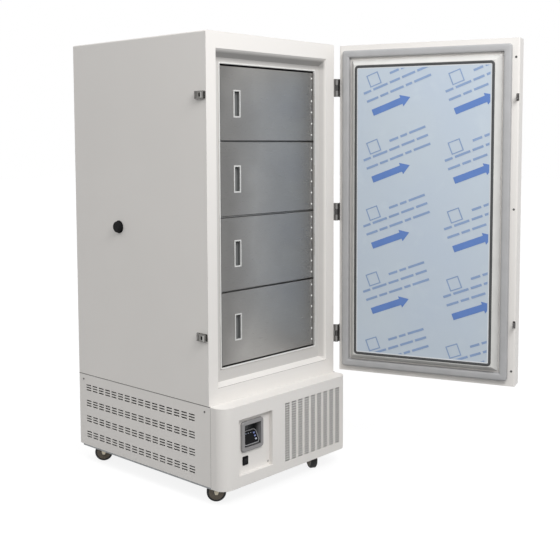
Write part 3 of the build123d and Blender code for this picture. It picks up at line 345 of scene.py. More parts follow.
def paint(name, colour):
    """Powder coat: a faint orange peel and slightly uneven gloss."""
    finish = Finish(name, colour, roughness=0.42)
    cloud = finish.noise(2.2, detail=4.0)
    finish.tint(finish.ramp(cloud, 0.35, 0.75, high=0.5), shaded(colour, 0.955))
    finish.polish(finish.noise(9.0), low=0.36, high=0.48)
    finish.relief(finish.noise(420.0, detail=2.0), height=0.00012, rounding=0.0012)
    return finish


def brushed(name, colour, along, roughness=0.34):
    """Brushed sheet steel: long fine lines in one direction and broad soft clouds."""
    finish = Finish(name, colour, roughness, metallic=1.0)
    stretch = [0.03 if axis == along else 1.0 for axis in range(3)]
    lines = finish.noise(900.0, stretch=stretch)
    cloud = finish.noise(5.0)
    finish.tint(finish.ramp(lines, 0.3, 0.75, high=0.22), shaded(colour, 0.72))
    finish.tint(finish.ramp(cloud, 0.4, 0.7, high=0.45), shaded(colour, 1.18))
    finish.polish(lines, low=roughness - 0.07, high=roughness + 0.08)
    finish.relief(lines, height=0.00006, rounding=0.0012)
    return finish


def moulded(name, colour, roughness=0.45, grain=700.0, shine=0.5):
    """Moulded plastic or rubber with a fine even grain and a little wear."""
    finish = Finish(name, colour, roughness)
    finish.set("Specular IOR Level", shine)
    cloud = finish.noise(14.0)
    worn = [min(1.0, value * 1.12 + 0.01) for value in colour]
    finish.tint(finish.ramp(cloud, 0.4, 0.75, high=0.6), worn)
    finish.polish(finish.noise(60.0), low=roughness - 0.06, high=roughness + 0.08)
    finish.relief(finish.noise(grain, detail=2.0), height=0.00008, rounding=0.0006)
    return finish


def plated(name, colour, roughness, rounding=0.0006):
    """Plated or cast metal with smudges."""
    finish = Finish(name, colour, roughness, metallic=1.0)
    smudge = finish.noise(45.0, detail=4.0)
    finish.tint(finish.ramp(smudge, 0.45, 0.8, high=0.5), shaded(colour, 0.7))
    finish.polish(smudge, low=roughness, high=roughness + 0.14)
    finish.relief(finish.noise(160.0), height=0.00008, rounding=rounding)
    return finish


def spangled(name, colour):
    """Galvanised sheet: angular spangles of slightly different greys."""
    finish = Finish(name, colour, roughness=0.45, metallic=0.85)
    cells = finish.add("ShaderNodeTexVoronoi")
    cells.inputs["Scale"].default_value = 70.0
    finish.link(finish.where, cells.inputs["Vector"])
    spread = finish.add("ShaderNodeSeparateColor")
    finish.link(cells.outputs["Color"], spread.inputs["Color"])
    finish.tint(spread.outputs["Red"], shaded(colour, 0.75))
    finish.polish(spread.outputs["Green"], low=0.38, high=0.55)
    finish.relief(finish.noise(90.0), height=0.0001)
    return finish


def wheel_finish(index):
    """A caster wheel: grey-brown moulded disc inside a black tread, by the distance from its axle."""
    joint = joints[f"caster_{index}_roll"]
    axis = Vector(joint["axis"])
    finish = Finish(f"wheel_{index}", (0.17, 0.145, 0.115), roughness=0.55)
    finish.set("Specular IOR Level", 0.3)
    turn = (0.0, 0.0, math.atan2(axis.y, axis.x))
    _, y, z = finish.split(finish.moved(at=joint["pos_m"], turn=turn))
    squares = [finish.math("MULTIPLY", value, value) for value in (y, z)]
    radius = finish.math("SQRT", finish.math("ADD", *squares))
    finish.tint(finish.ramp(finish.noise(30.0), 0.4, 0.7, high=0.6), (0.22, 0.19, 0.16))
    finish.tint(finish.ramp(radius, *WHEEL_TREAD), (0.016, 0.016, 0.017))
    finish.tint(finish.ramp(radius, *WHEEL_HUB), (0.10, 0.10, 0.10))
    finish.polish(finish.noise(80.0), low=0.45, high=0.65)
    ridge = finish.math("SINE", finish.math("MULTIPLY", radius, WHEEL_RIDGES))
    finish.relief(finish.math("MULTIPLY", ridge, 0.5), height=0.0003)
    return finish


def deepened(finish, face, depths, colour):
    """The finish goes over to another colour from one depth behind a face to another; here it paints shade into
    wells and cups.
    """
    _, y, _ = finish.split(finish.where)
    finish.tint(finish.ramp(y, *[face + depth for depth in depths]), colour)
    return finish


def frame_finish(colour):
    """Paint that goes over to a greyer tone inside the recess, most of all under its top: painted shade."""
    low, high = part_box("front_frame")
    finish = paint("frame_paint", colour)
    _, y, z = finish.split(finish.where)
    depth = finish.ramp(y, *[low.y + value for value in RECESS_DEPTH])
    upper = finish.ramp(z, *[high.z - value for value in RECESS_COVE], low=RECESS_SIDE)
    above = finish.ramp(z, *[low.z + value for value in RECESS_SILL])
    # Painted shade of the recess: deeper in, strongest under the top, none on the sill
    mask = finish.math("MULTIPLY", finish.math("MULTIPLY", depth, upper), above)
    finish.tint(mask, shaded(colour, RECESS_SHADE_TONE))
    return finish


def bezel_finish():
    """Grey moulded bezel that is darker inside its well, as painted shade."""
    finish = moulded("controller_grey", (0.26, 0.253, 0.255), roughness=0.42)
    return deepened(finish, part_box("controller_bezel")[0].y, BEZEL_WELL, (0.075, 0.075, 0.075))


def inner_door_finish():
    """Stainless sheet, darker towards the free edge and the hinge edge, as a painted reflection."""
    colour = (0.385, 0.375, 0.36)
    finish = brushed("inner_door_steel", colour, along=0)
    low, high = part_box("inner_door_1")
    x, _, _ = finish.split(finish.where)
    drift = finish.ramp(finish.noise(3.5, detail=2.0), 0.3, 0.7, low=-0.06, high=0.06)
    across = finish.math("ADD", x, drift)
    # Painted reflection: darker towards the free edge and, less, towards the hinge edge
    finish.tint(finish.ramp(across, low.x + DOOR_REFLECTION_FREE, low.x, high=0.8), shaded(colour, 0.50))
    finish.tint(finish.ramp(across, high.x - DOOR_REFLECTION_HINGE, high.x, high=0.25), shaded(colour, 0.75))
    return finish


def pull_finish():
    """Pale moulded pull with a grey cup: its own grey, darkened further as painted shade in the hollow."""
    finish = moulded("pull_pale", (0.60, 0.60, 0.585), roughness=0.40)
    return deepened(finish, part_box("inner_door_pull_1")[0].y, PULL_CUP, (0.165, 0.17, 0.17))


def film_finish():
    """Pale blue protective film: soft creases, a little gloss."""
    finish = Finish("film_blue", (0.51, 0.58, 0.65), roughness=0.33, coat=0.25)
    finish.tint(finish.ramp(finish.noise(2.6, detail=2.0), 0.35, 0.7), (0.485, 0.56, 0.655))
    finish.tint(finish.ramp(finish.noise(14.0, detail=4.0), 0.55, 0.8, high=0.5), (0.56, 0.63, 0.69))
    finish.polish(finish.noise(20.0), low=0.28, high=0.42)
    finish.relief(finish.noise(26.0, detail=4.0, stretch=(1, 1, 0.5)), height=0.0006)
    return finish


def filter_finish():
    """Black filter mat with patches of dust; its black is also painted shade of the space behind the grilles."""
    finish = moulded("filter_mat_and_shade", (0.006, 0.006, 0.006), roughness=0.80, grain=260.0, shine=0.1)
    dust = finish.noise(16.0, detail=4.0)
    finish.tint(finish.ramp(dust, 0.56, 0.70, high=0.8), (0.045, 0.045, 0.043))
    return finish


def window_finish():
    """Dark display window, slightly smeared."""
    finish = Finish("display_window", (0.020, 0.022, 0.024), roughness=0.25)
    finish.set("Specular IOR Level", 0.35)
    finish.polish(finish.noise(30.0), low=0.20, high=0.32)
    return finish


WHITE_PAINT = (0.80, 0.775, 0.745)
FINISHES = {
    "white_paint": paint("white_paint", WHITE_PAINT),
    "galvanised": spangled("galvanised", (0.30, 0.31, 0.32)),
    "stainless": brushed("stainless", (0.42, 0.415, 0.405), along=0),
    "filmed_stainless": brushed("panel_edge", (0.62, 0.64, 0.66), along=2),
    "white_plastic": moulded("white_plastic", (0.68, 0.675, 0.655), roughness=0.40),
    "foam": moulded("foam", (0.62, 0.52, 0.30), roughness=0.85, grain=240.0),
    "grey_rubber": moulded("gasket_grey", (0.40, 0.40, 0.405), roughness=0.50, grain=300.0),
    "chrome": plated("chrome", (0.20, 0.195, 0.185), roughness=0.16, rounding=0.003),
    "dark_steel": plated("dark_steel", (0.075, 0.07, 0.068), roughness=0.36),
    "black_plastic": moulded("black_plastic", (0.006, 0.006, 0.007), roughness=0.42, shine=0.12),
    "black_rubber": moulded("black_rubber", (0.007, 0.007, 0.007), roughness=0.60, grain=500.0, shine=0.12),
    "grey_plastic": moulded("grey_plastic", (0.31, 0.33, 0.35), roughness=0.42),
    "light_plastic": moulded("key_plastic", (0.50, 0.53, 0.60), roughness=0.35),
    "zinc": plated("zinc", (0.42, 0.38, 0.30), roughness=0.34),
    "black_enamel": moulded("black_enamel", (0.02, 0.02, 0.022), roughness=0.28),
    "aluminium_fins": brushed("aluminium_fins", (0.55, 0.56, 0.57), along=2),
    "copper": plated("copper", (0.50, 0.25, 0.15), roughness=0.32),
}

# Finishes of pieces that the CAD leaves out
SCREW_METAL = plated("screw_metal", (0.42, 0.41, 0.39), roughness=0.28)
SCREW_DARK = plated("screw_dark", (0.10, 0.10, 0.10), roughness=0.32)
RIVET_PALE = moulded("rivet_pale", (0.74, 0.74, 0.72), roughness=0.35)
# A brighter copy of the latch metal: painted highlight
LIP_HIGHLIGHT = plated("lip_painted_highlight", (0.46, 0.455, 0.44), roughness=0.18, rounding=0.0012)
BEAD_BLACK = moulded("bead_black", (0.045, 0.047, 0.048), roughness=0.45, grain=500.0)
# Dark and grey beads that stand in as painted shade in seams and gaps
SEAM_SHADE = moulded("seam_painted_shade", (0.07, 0.066, 0.062), roughness=0.60)
JOINT_SHADE = moulded("joint_painted_shade", (0.36, 0.345, 0.33), roughness=0.60)
FILTER = filter_finish()
FILM = film_finish()
PRINT = moulded("film_print", (0.105, 0.205, 0.50), roughness=0.40)
PRINT_PALE = moulded("film_print_pale", (0.235, 0.33, 0.52), roughness=0.40)
GLASS = window_finish()
SILVER = moulded("silver_trim", (0.30, 0.30, 0.31), roughness=0.32)
LEGEND = moulded("legend_pale", (0.45, 0.50, 0.62), roughness=0.45)

# Finishes of single nodes, before the finish of their slot
OWN_FINISHES = {f"caster_wheel_{wheel}": wheel_finish(wheel) for wheel in range(1, 5)}
OWN_FINISHES["front_frame"] = frame_finish(WHITE_PAINT)
# The two leaves of the main hinges: lit and shaded copies of one metal, a painted light and a painted shade
OWN_FINISHES["cabinet_hinges"] = plated("hinge_painted_lit", (0.24, 0.235, 0.23), roughness=0.24, rounding=0.0012)
OWN_FINISHES["door_hinges"] = plated("hinge_painted_shade", (0.085, 0.083, 0.082), roughness=0.30, rounding=0.0012)
OWN_FINISHES["controller_bezel"] = bezel_finish()
OWN_FINISHES["up_key"] = OWN_FINISHES["set_key"] = moulded("key_blue", (0.22, 0.27, 0.55), roughness=0.30)
for door in range(1, 5):
    OWN_FINISHES[f"inner_door_{door}"] = inner_door_finish()
    OWN_FINISHES[f"inner_door_pull_{door}"] = pull_finish()
for subpart in frame["record"]["subparts"]:
    node, slot_name = subpart["node"], subpart["material_slot"]
    finish = OWN_FINISHES[node] if node in OWN_FINISHES else FINISHES[slot_name]
    nodes[node].data.materials.clear()
    nodes[node].data.materials.append(finish.material)


# The main door is drawn shut and swung open about its hinge

door_joint = joints["main_door_hinge"]
hinge_at = Vector(door_joint["pos_m"])
DOOR_REST = math.radians(-door_joint["range_deg"][0])
SWING = Matrix.Translation(hinge_at) @ Matrix.Rotation(DOOR_REST, 4, "Z") @ Matrix.Translation(-hinge_at)
UNSWING = SWING.inverted()


def shut_points(node):
    """A main-door node's points with the door shut."""
    return [UNSWING @ vertex.co for vertex in nodes[node].data.vertices]


def shut_box(node):
    """A main-door node's lowest and highest corners with the door shut."""
    points = shut_points(node)
    return [Vector([pick(point[axis] for point in points) for axis in range(3)]) for pick in (min, max)]


# Shapes

# Turns that lay a moulding's plane upright, with its height towards the front or towards the back
FRONTWARD = Matrix(((1, 0, 0, 0), (0, 0, -1, 0), (0, 1, 0, 0), (0, 0, 0, 1)))
BACKWARD = Matrix(((1, 0, 0, 0), (0, 0, 1, 0), (0, 1, 0, 0), (0, 0, 0, 1)))


def added(name, data):
    """A new object in the scene."""
    obj = bpy.data.objects.new(name, data)
    bpy.context.scene.collection.objects.link(obj)
    return obj


def piece(name, mesh, finish, body, place=None):
    """An object from a bmesh that rides on a body."""
    data = bpy.data.meshes.new(name)
    bmesh.ops.recalc_face_normals(mesh, faces=mesh.faces)
    if place is not None:
        mesh.transform(place)
    mesh.to_mesh(data)
    mesh.free()
    obj = added(name, data)
    obj.data.materials.append(finish.material)
    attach(obj, body)
    return obj


def smooth(mesh):
    for face in mesh.faces:
        face.smooth = True


def facing(normal):
    """A turn that brings +Z onto a direction."""
    return Vector((0, 0, 1)).rotation_difference(Vector(normal)).to_matrix().to_4x4()


def aimed(direction):
    """A turn that points a camera or a lamp in a direction."""
    return direction.to_track_quat("-Z", "Y").to_matrix().to_4x4()


def half_sizes(low, high, grow=0.0):
    """Half the width and half the height of a box, grown all round."""
    return (high.x - low.x) / 2 + grow, (high.z - low.z) / 2 + grow


def scaled(profile, size):
    """A profile's shares as lengths."""
    return [(across * size[0], up * size[1]) for across, up in profile]


def ripple(x, y, waves):
    """Two sine waves across a plane, multiplied."""
    return math.prod(math.sin(along_x * x + along_y * y) for along_x, along_y in waves)


def ring(mesh, outline, height, place):
    """New points of an outline at one height."""
    return [mesh.verts.new(place @ Vector((x, y, height))) for x, y in outline]


def stitch(mesh, first, second):
    """A band of faces between two rings."""
    for index in range(len(first)):
        after = (index + 1) % len(first)
        mesh.faces.new((first[index], first[after], second[after], second[index]))


def stack(mesh, rings):
    """A form through rings in turn, with both ends capped."""
    for first, second in zip(rings, rings[1:]):
        stitch(mesh, first, second)
    mesh.faces.new(list(reversed(rings[0])))
    mesh.faces.new(rings[-1])


def turned(mesh, profile, sides, place):
    """A closed turned form from pairs of radius and height."""
    rings = []
    for radius, height in profile:
        angles = [2 * math.pi * side / sides for side in range(sides)]
        outline = [(radius * math.cos(angle), radius * math.sin(angle)) for angle in angles]
        rings.append(ring(mesh, outline, height, place))
    stack(mesh, rings)


def cross_head(mesh, size, place):
    """A pan-head screw with a cross slot sunk in its crown."""
    radius, height = size
    turned(mesh, scaled(SCREW_PROFILE, size), SCREW_SIDES, place)
    half_l, half_w = radius * SLOT_HALF[0], radius * SLOT_HALF[1]
    corners = [(-half_l, -half_w), (half_l, -half_w), (half_l, half_w), (-half_l, half_w)]
    for turn in (0, 1):
        spin = place @ Matrix.Rotation(turn * math.pi / 2, 4, "Z")
        lower = ring(mesh, corners, height * SLOT_RISE[0], spin)
        upper = ring(mesh, [shaded(corner, SLOT_TAPER) for corner in corners], height * SLOT_RISE[1], spin)
        stitch(mesh, lower, upper)
        mesh.faces.new(upper)


def screws(name, size, places, normal, finish, body, swing=None):
    """One object with a screw at each place, all facing one way."""
    mesh = bmesh.new()
    for at in places:
        cross_head(mesh, size, Matrix.Translation(at) @ facing(normal))
    return piece(name, mesh, finish, body, place=swing)


def rivets(name, size, places, normal, finish, body):
    """One object with a rivet at each place, all facing one way."""
    mesh = bmesh.new()
    for at in places:
        turned(mesh, scaled(RIVET_PROFILE, size), RIVET_SIDES, Matrix.Translation(at) @ facing(normal))
    smooth(mesh)
    return piece(name, mesh, finish, body)


def rounded_loop(half_w, half_h, radius, steps):
    """Points of a rounded rectangle, counter-clockwise from the right."""
    points = []
    for corner in range(4):
        centre_x = (half_w - radius) * (1 if corner in (0, 3) else -1)
        centre_y = (half_h - radius) * (1 if corner in (0, 1) else -1)
        for step in range(steps + 1):
            angle = math.pi / 2 * (corner + step / steps)
            points.append((centre_x + radius * math.cos(angle), centre_y + radius * math.sin(angle)))
    return points


def spread_loop(half_w, half_h, radius):
    """A rounded rectangle with points along its straight runs too."""
    corners = rounded_loop(half_w, half_h, radius, CORNER_STEPS)
    points = []
    for index, start in enumerate(corners):
        end = corners[(index + 1) % len(corners)]
        points.append(start)
        if index % (CORNER_STEPS + 1) == CORNER_STEPS:
            for step in range(1, GASKET_RUNS):
                share = step / GASKET_RUNS
                points.append(tuple(a + share * (b - a) for a, b in zip(start, end)))
    return points


def swept_frame(mesh, half_w, half_h, corner, profile, place):
    """A moulding round a rounded rectangle: profile pairs are the inset and the height."""
    rings = []
    for inset, height in profile:
        radius = max(corner - inset, CORNER_LEAST)
        outline = rounded_loop(half_w - inset, half_h - inset, radius, CORNER_STEPS)
        rings.append(ring(mesh, outline, height, place))
    for first, second in zip(rings, rings[1:] + rings[:1]):
        stitch(mesh, first, second)
    smooth(mesh)


def slab(name, finish, edges, y, thickness):
    """An upright board on the cabinet with softened edges, its face at y."""
    left, right, bottom, top = edges
    place = Matrix.Translation(((left + right) / 2, y, (bottom + top) / 2)) @ FRONTWARD
    half_w, half_h = (right - left) / 2, (top - bottom) / 2
    soft = thickness / 4
    mesh = bmesh.new()
    rings = []
    for inset, depth in ((soft, -thickness), (0.0, soft - thickness), (0.0, -soft), (soft, 0.0)):
        outline = rounded_loop(half_w - inset, half_h - inset, SLAB_CORNER, SLAB_STEPS)
        rings.append(ring(mesh, outline, depth, place))
    stack(mesh, rings)
    return piece(name, mesh, finish, "cabinet")


def bead(mesh, start, end, out, size):
    """A half-round bead along a line, standing out in one direction, with closed ends."""
    width, height = size
    start, end, out = Vector(start), Vector(end), Vector(out)
    across = (end - start).normalized().cross(out)
    profile = []
    for step in range(BEAD_STEPS + 1):
        angle = math.pi * step / BEAD_STEPS
        profile.append(across * (width / 2 * math.cos(angle)) + out * (height * math.sin(angle)))
    stack(mesh, [[mesh.verts.new(point + offset) for offset in profile] for point in (start, end)])


def rim_place(low, high, y):
    """A plane on the shut door: x and y of a moulding along the door, its height towards the cabinet."""
    middle = (low + high) / 2
    return SWING @ Matrix.Translation((middle.x, y, middle.z)) @ BACKWARD


# Pieces

def build_gasket():
    """The magnetic gasket: a bellows under a flat face that runs slightly wavy along the door."""
    low, high = shut_box("door_gasket")
    middle = (low.x + high.x) / 2
    width = max(point.x for point in shut_points("door_gasket") if point.x < middle) - low.x
    height = high.y - low.y
    half_w, half_h = half_sizes(low, high)
    place = rim_place(low, high, low.y)
    mesh = bmesh.new()
    rings = []
    for inset, rise in scaled(GASKET_PROFILE, (width, height)):
        points = []
        for x, y in spread_loop(half_w - inset, half_h - inset, max(GASKET_CORNER - inset, CORNER_LEAST)):
            fine = GASKET_FINE_SHARE * math.sin(GASKET_FINE_WAVE * (x + y))
            dip = GASKET_DIP * max(ripple(x, y, GASKET_WAVES) + fine, 0.0) * rise / height
            points.append(mesh.verts.new(place @ Vector((x, y, rise - dip))))
        rings.append(points)
    for first, second in zip(rings, rings[1:] + rings[:1]):
        stitch(mesh, first, second)
    smooth(mesh)
    gasket = piece("gasket_profile", mesh, FINISHES["grey_rubber"], "main_door")
    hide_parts("door_gasket")


def build_panel_bead():
    """The dark rubber bead that holds the inner panel in its rebate, its black also painted shade of the rebate
    gap.
    """
    low, high = shut_box("door_inner_panel")
    profile = []
    for step in range(PANEL_BEAD_SIDES):
        angle = 2 * math.pi * step / PANEL_BEAD_SIDES
        inset = PANEL_BEAD_R - PANEL_BEAD_R * math.cos(angle)
        profile.append((inset, PANEL_BEAD_RISE * PANEL_BEAD_R * math.sin(angle)))
    half_w, half_h = half_sizes(low, high, PANEL_BEAD_OUT * PANEL_BEAD_R)
    mesh = bmesh.new()
    swept_frame(mesh, half_w, half_h, PANEL_BEAD_CORNER, profile, rim_place(low, high, high.y))
    piece("panel_bead", mesh, BEAD_BLACK, "main_door")


def build_film():
    """The film, slightly uneven, and its print."""
    low, high = shut_box("door_inner_panel")
    half_w, half_h = half_sizes(low, high, -FILM_INSET)
    place = rim_place(low, high, high.y)
    mesh = bmesh.new()
    grid = []
    for row in range(FILM_ROWS + 1):
        line = []
        for column in range(FILM_COLUMNS + 1):
            x = half_w * (2 * column / FILM_COLUMNS - 1)
            y = half_h * (2 * row / FILM_ROWS - 1)
            lift = FILM_LIFT * (1 + FILM_RIPPLE * ripple(x, y, FILM_WAVES))
            line.append(mesh.verts.new(place @ Vector((x, y, lift))))
        grid.append(line)
    for below, above in zip(grid, grid[1:]):
        for column in range(FILM_COLUMNS):
            mesh.faces.new((below[column], below[column + 1], above[column + 1], above[column]))
    smooth(mesh)
    piece("protective_film", mesh, FILM, "main_door")
    build_print(half_w, half_h, place)


def clipped(corners, half_w, half_h):
    """A polygon cut to a rectangle."""
    for axis, sign, limit in ((0, 1, half_w), (0, -1, half_w), (1, 1, half_h), (1, -1, half_h)):
        kept = []
        for index, point in enumerate(corners):
            after = corners[(index + 1) % len(corners)]
            here, there = limit - sign * point[axis], limit - sign * after[axis]
            if here >= 0:
                kept.append(point)
            if here * there < 0:
                share = here / (here - there)
                kept.append(tuple(a + share * (b - a) for a, b in zip(point, after)))
        corners = kept
        if len(corners) < 3:
            return []
    return corners


def arrow_outline(length, height):
    """A plain arrow that points along +X."""
    shaft, tip = height * ARROW_SHAFT, height / 2
    neck = length - height * ARROW_HEAD
    return [(0, -shaft), (neck, -shaft), (neck, -tip), (length, 0), (neck, tip), (neck, shaft), (0, shaft)]


def bar_outline(start, length, height):
    return [(start, 0), (start + length, 0), (start + length, height), (start, height)]


def print_group():
    """Outlines of one printed group from the arrow's tail: bold ones and pale ones, across and up."""
    lean = Matrix.Rotation(math.radians(PRINT_LEAN), 2)
    bold = [[lean @ Vector(point) for point in arrow_outline(*PRINT_ARROW)]]
    pale = []
    for at, runs in PRINT_LINES:
        start = 0.0
        for run in runs:
            dash = bar_outline(start, run, PRINT_DASH_H)
            pale.append([lean @ Vector(point) + Vector(at) for point in dash])
            start += run + PRINT_DASH_GAP
    outer, inner = PRINT_SQUARE, PRINT_SQUARE - PRINT_SQUARE_LINE
    edge = [(-outer, outer), (-inner, inner), (inner, inner), (outer, outer)]
    for side in range(4):
        turn = lean @ Matrix.Rotation(side * math.pi / 2, 2)
        pale.append([turn @ Vector(point) + Vector(PRINT_SQUARE_AT) for point in edge])
    return bold, pale


def build_print(half_w, half_h, place):
    """The printed groups, cut at the film's edges: they run away from the hinge and lean upwards."""
    height = 2 * FILM_LIFT + PRINT_LIFT
    spots = [(column, row) for column in PRINT_COLUMNS for row in PRINT_ROWS]
    for name, outlines, finish in zip(("bold", "pale"), print_group(), (PRINT, PRINT_PALE)):
        mesh = bmesh.new()
        for column, row in spots:
            across = half_w - PRINT_FIRST[0] - column * PRINT_PITCH[0]
            up = half_h - PRINT_FIRST[1] - row * PRINT_PITCH[1]
            for outline in outlines:
                whole = [(across - x, up + y) for x, y in outline]
                shape = clipped(whole, half_w - PRINT_EDGE, half_h - PRINT_EDGE)
                if shape:
                    mesh.faces.new(ring(mesh, shape, height, place))
        piece(f"film_print_{name}", mesh, finish, "main_door")


def build_rim_screws():
    """Small screws down the free-side rim of the main door."""
    low, high = shut_box("door_pan")
    gasket_low, _ = shut_box("door_gasket")
    x = (low.x + gasket_low.x) / 2
    middle = (low.z + high.z) / 2
    levels = (high.z - RIM_SCREW_DOWN, middle + RIM_SCREW_OVER_MIDDLE, low.z + RIM_SCREW_UP)
    places = [(x, high.y, z) for z in levels]
    screws("rim_screws", RIM_SCREW, places, (0, 1, 0), SCREW_DARK, "main_door", SWING)


def hinge_levels():
    """Middle heights of the three main hinges."""
    heights = sorted({round(vertex.co.z, 4) for vertex in nodes["cabinet_hinges"].data.vertices})
    groups = [[heights[0]]]
    for height in heights[1:]:
        if height - groups[-1][-1] > HINGES_APART:
            groups.append([])
        groups[-1].append(height)
    return [(group[0] + group[-1]) / 2 for group in groups]


def build_hinge_screws():
    """Three screws on each leaf of the main hinges."""
    _, cabinet_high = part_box("cabinet_hinges")
    door_low, _ = shut_box("door_hinges")
    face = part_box("outer_wrapper")[1].x + HINGE_LEAF_T
    levels = [level + offset for level in hinge_levels() for offset in HINGE_SCREW_LEVELS]
    fixed = [(face, cabinet_high.y - HINGE_SCREW_IN, level) for level in levels]
    swung = [(face, door_low.y + HINGE_SCREW_IN, level) for level in levels]
    screws("cabinet_hinge_screws", HINGE_SCREW, fixed, (1, 0, 0), SCREW_METAL, "cabinet")
    screws("door_hinge_screws", HINGE_SCREW, swung, (1, 0, 0), SCREW_METAL, "main_door", SWING)


def build_panel_screws():
    """Screws on the base's side panels, the rear grille and the back."""
    low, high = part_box("side_panel_left")
    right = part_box("side_panel_right")[1]
    for side, x, out in (("left", low.x, -1), ("right", right.x, 1)):
        depths = (low.y + SIDE_SCREW_FRONT, high.y - SIDE_SCREW_BACK)
        spots = [(x, y, high.z - PANEL_SCREW_DOWN) for y in depths]
        screws(f"{side}_panel_screws", PANEL_SCREW, spots, (out, 0, 0), SCREW_DARK, "cabinet")

    low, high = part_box("rear_grille")
    columns = (low.x + REAR_SCREW_IN, high.x - REAR_SCREW_IN)
    levels = (low.z + REAR_SCREW_IN, high.z - PANEL_SCREW_DOWN)
    spots = [(x, high.y, z) for x in columns for z in levels]
    screws("rear_grille_screws", PANEL_SCREW, spots, (0, 1, 0), SCREW_METAL, "cabinet")

    low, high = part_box("back_panel")
    columns = (low.x + BACK_SCREW_IN[0], high.x - BACK_SCREW_IN[0])
    pitch = (high.z - low.z - 2 * BACK_SCREW_IN[1]) / (BACK_SCREW_ROWS - 1)
    levels = [low.z + BACK_SCREW_IN[1] + step * pitch for step in range(BACK_SCREW_ROWS)]
    spots = [(x, high.y, z) for z in levels for x in columns]
    screws("back_panel_screws", PANEL_SCREW, spots, (0, 1, 0), SCREW_METAL, "cabinet")


def build_rivets():
    """A row of rivets down each inner door's hinge leaf."""
    for index in range(1, 5):
        low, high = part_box(f"inner_door_{index}")
        pitch = (high.z - low.z) / RIVETS_PER_DOOR
        x, face = high.x - RIVET_IN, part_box(f"inner_door_pull_{index}")[0].y + PULL_PROUD
        spots = [(x, face, low.z + pitch * (step + 0.5)) for step in range(RIVETS_PER_DOOR)]
        rivets(f"hinge_rivets_{index}", RIVET, spots, (0, -1, 0), RIVET_PALE, f"inner_door_{index}")


def build_trim():
    """A white moulded strip round the opening, where the liner meets the front frame."""
    low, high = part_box("inner_liner")
    left, right = low.x + LINER_T, high.x - LINER_T + TRIM_HINGE
    bottom, top = low.z + LINER_T, high.z - LINER_T
    width = TRIM[0]
    half_w, half_h = (right - left) / 2 + width, (top - bottom) / 2 + width
    place = Matrix.Translation(((left + right) / 2, low.y - FRAME_T, (bottom + top) / 2)) @ FRONTWARD
    mesh = bmesh.new()
    swept_frame(mesh, half_w, half_h, width, scaled(TRIM_PROFILE, TRIM), place)
    piece("opening_trim", mesh, FINISHES["white_plastic"], "cabinet")


def pad_place():
    """The key panel's face: a place with X across it, Y up its slope and Z out of it, and its half sizes."""
    out = -Vector(joints["set_key_press"]["axis"]).normalized()
    across = Vector((1, 0, 0))
    up = out.cross(across)
    points = [vertex.co for vertex in nodes["key_panel"].data.vertices]
    spans = [[point.dot(axis) for point in points] for axis in (across, up, out)]
    middle = across * (min(spans[0]) + max(spans[0])) / 2 + up * (min(spans[1]) + max(spans[1])) / 2
    middle += out * max(spans[2])
    turn = Matrix((across, up, out)).transposed().to_4x4()
    half_w, half_h = [(max(span) - min(span)) / 2 for span in spans[:2]]
    return Matrix.Translation(middle) @ turn, half_w, half_h


def build_controller():
    """The silver rim and marks on the key panel, and the display window above it."""
    place, half_w, half_h = pad_place()
    mesh = bmesh.new()
    swept_frame(mesh, half_w - RIM_INSET, half_h - RIM_INSET, RIM_CORNER, scaled(RIM_PROFILE, RIM), place)
    piece("key_panel_rim", mesh, SILVER, "cabinet")

    mesh = bmesh.new()
    wide, tall = MARK_HALF
    for step in range(MARKS):
        x, y = half_w * MARK_FIRST[0] + step * half_w * MARK_PITCH, half_h * MARK_FIRST[1]
        corners = [(x - wide, y - tall), (x + wide, y - tall), (x + wide, y + tall), (x - wide, y + tall)]
        mesh.faces.new(ring(mesh, corners, PRINT_LIFT, place))
    piece("key_panel_marks", mesh, LEGEND, "cabinet")

    low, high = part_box("controller_bezel")
    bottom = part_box("key_panel")[1].z - WINDOW_UNDER
    edges = (low.x + WINDOW_IN, high.x - WINDOW_IN, bottom, high.z - WINDOW_IN)
    slab("display_window", GLASS, edges, low.y + WINDOW_BACK, WINDOW_T)


def build_pocket_screw():
    """One screw in the floor of the pocket, beside the rocker switch."""
    low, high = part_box("rocker_frame")
    bezel_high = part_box("controller_bezel")[1]
    level = (low.z + high.z) / 2 - POCKET_SCREW_DOWN
    spot = (bezel_high.x + POCKET_SCREW_ASIDE, low.y + ROCKER_PROUD, level)
    screws("pocket_screw", RIM_SCREW, [spot], (0, -1, 0), SCREW_METAL, "cabinet")


def build_caster_bolts():
    """Four bolts under each caster plate."""
    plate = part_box("caster_plates")[1].z - CASTER_PLATE_T
    sides = (-CASTER_BOLT_ASIDE, CASTER_BOLT_ASIDE)
    for index in range(1, 5):
        x, y, _ = joints[f"caster_{index}_swivel"]["pos_m"]
        spots = [(x + dx, y + dy, plate) for dx in sides for dy in sides]
        screws(f"caster_bolts_{index}", CASTER_BOLT, spots, (0, 0, -1), SCREW_METAL, "cabinet")


def build_filters():
    """Dark filter pads behind the front grille and the rear grille, their dark also painted shade of the space
    behind.
    """
    low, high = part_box("front_cover")
    left, right = low.x + GRILLE_IN[0], high.x - GRILLE_IN[1]
    bottom, top = low.z + GRILLE_DOWN[1], high.z - GRILLE_DOWN[0]
    face = low.y + COVER_T + FILTER_GAP
    slab("front_filter", FILTER, (left, right, bottom, top), face, FILTER_T)

    low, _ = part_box("rear_grille")
    left, right = low.x + POST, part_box("mains_inlet")[0].x - INLET_GAP
    bottom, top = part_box("base_tray")[1].z + TRAY_GAP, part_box("base_frame")[1].z - POST
    face = low.y - FILTER_T - FILTER_GAP
    slab("rear_filter", FILTER, (left, right, bottom, top), face, FILTER_T)


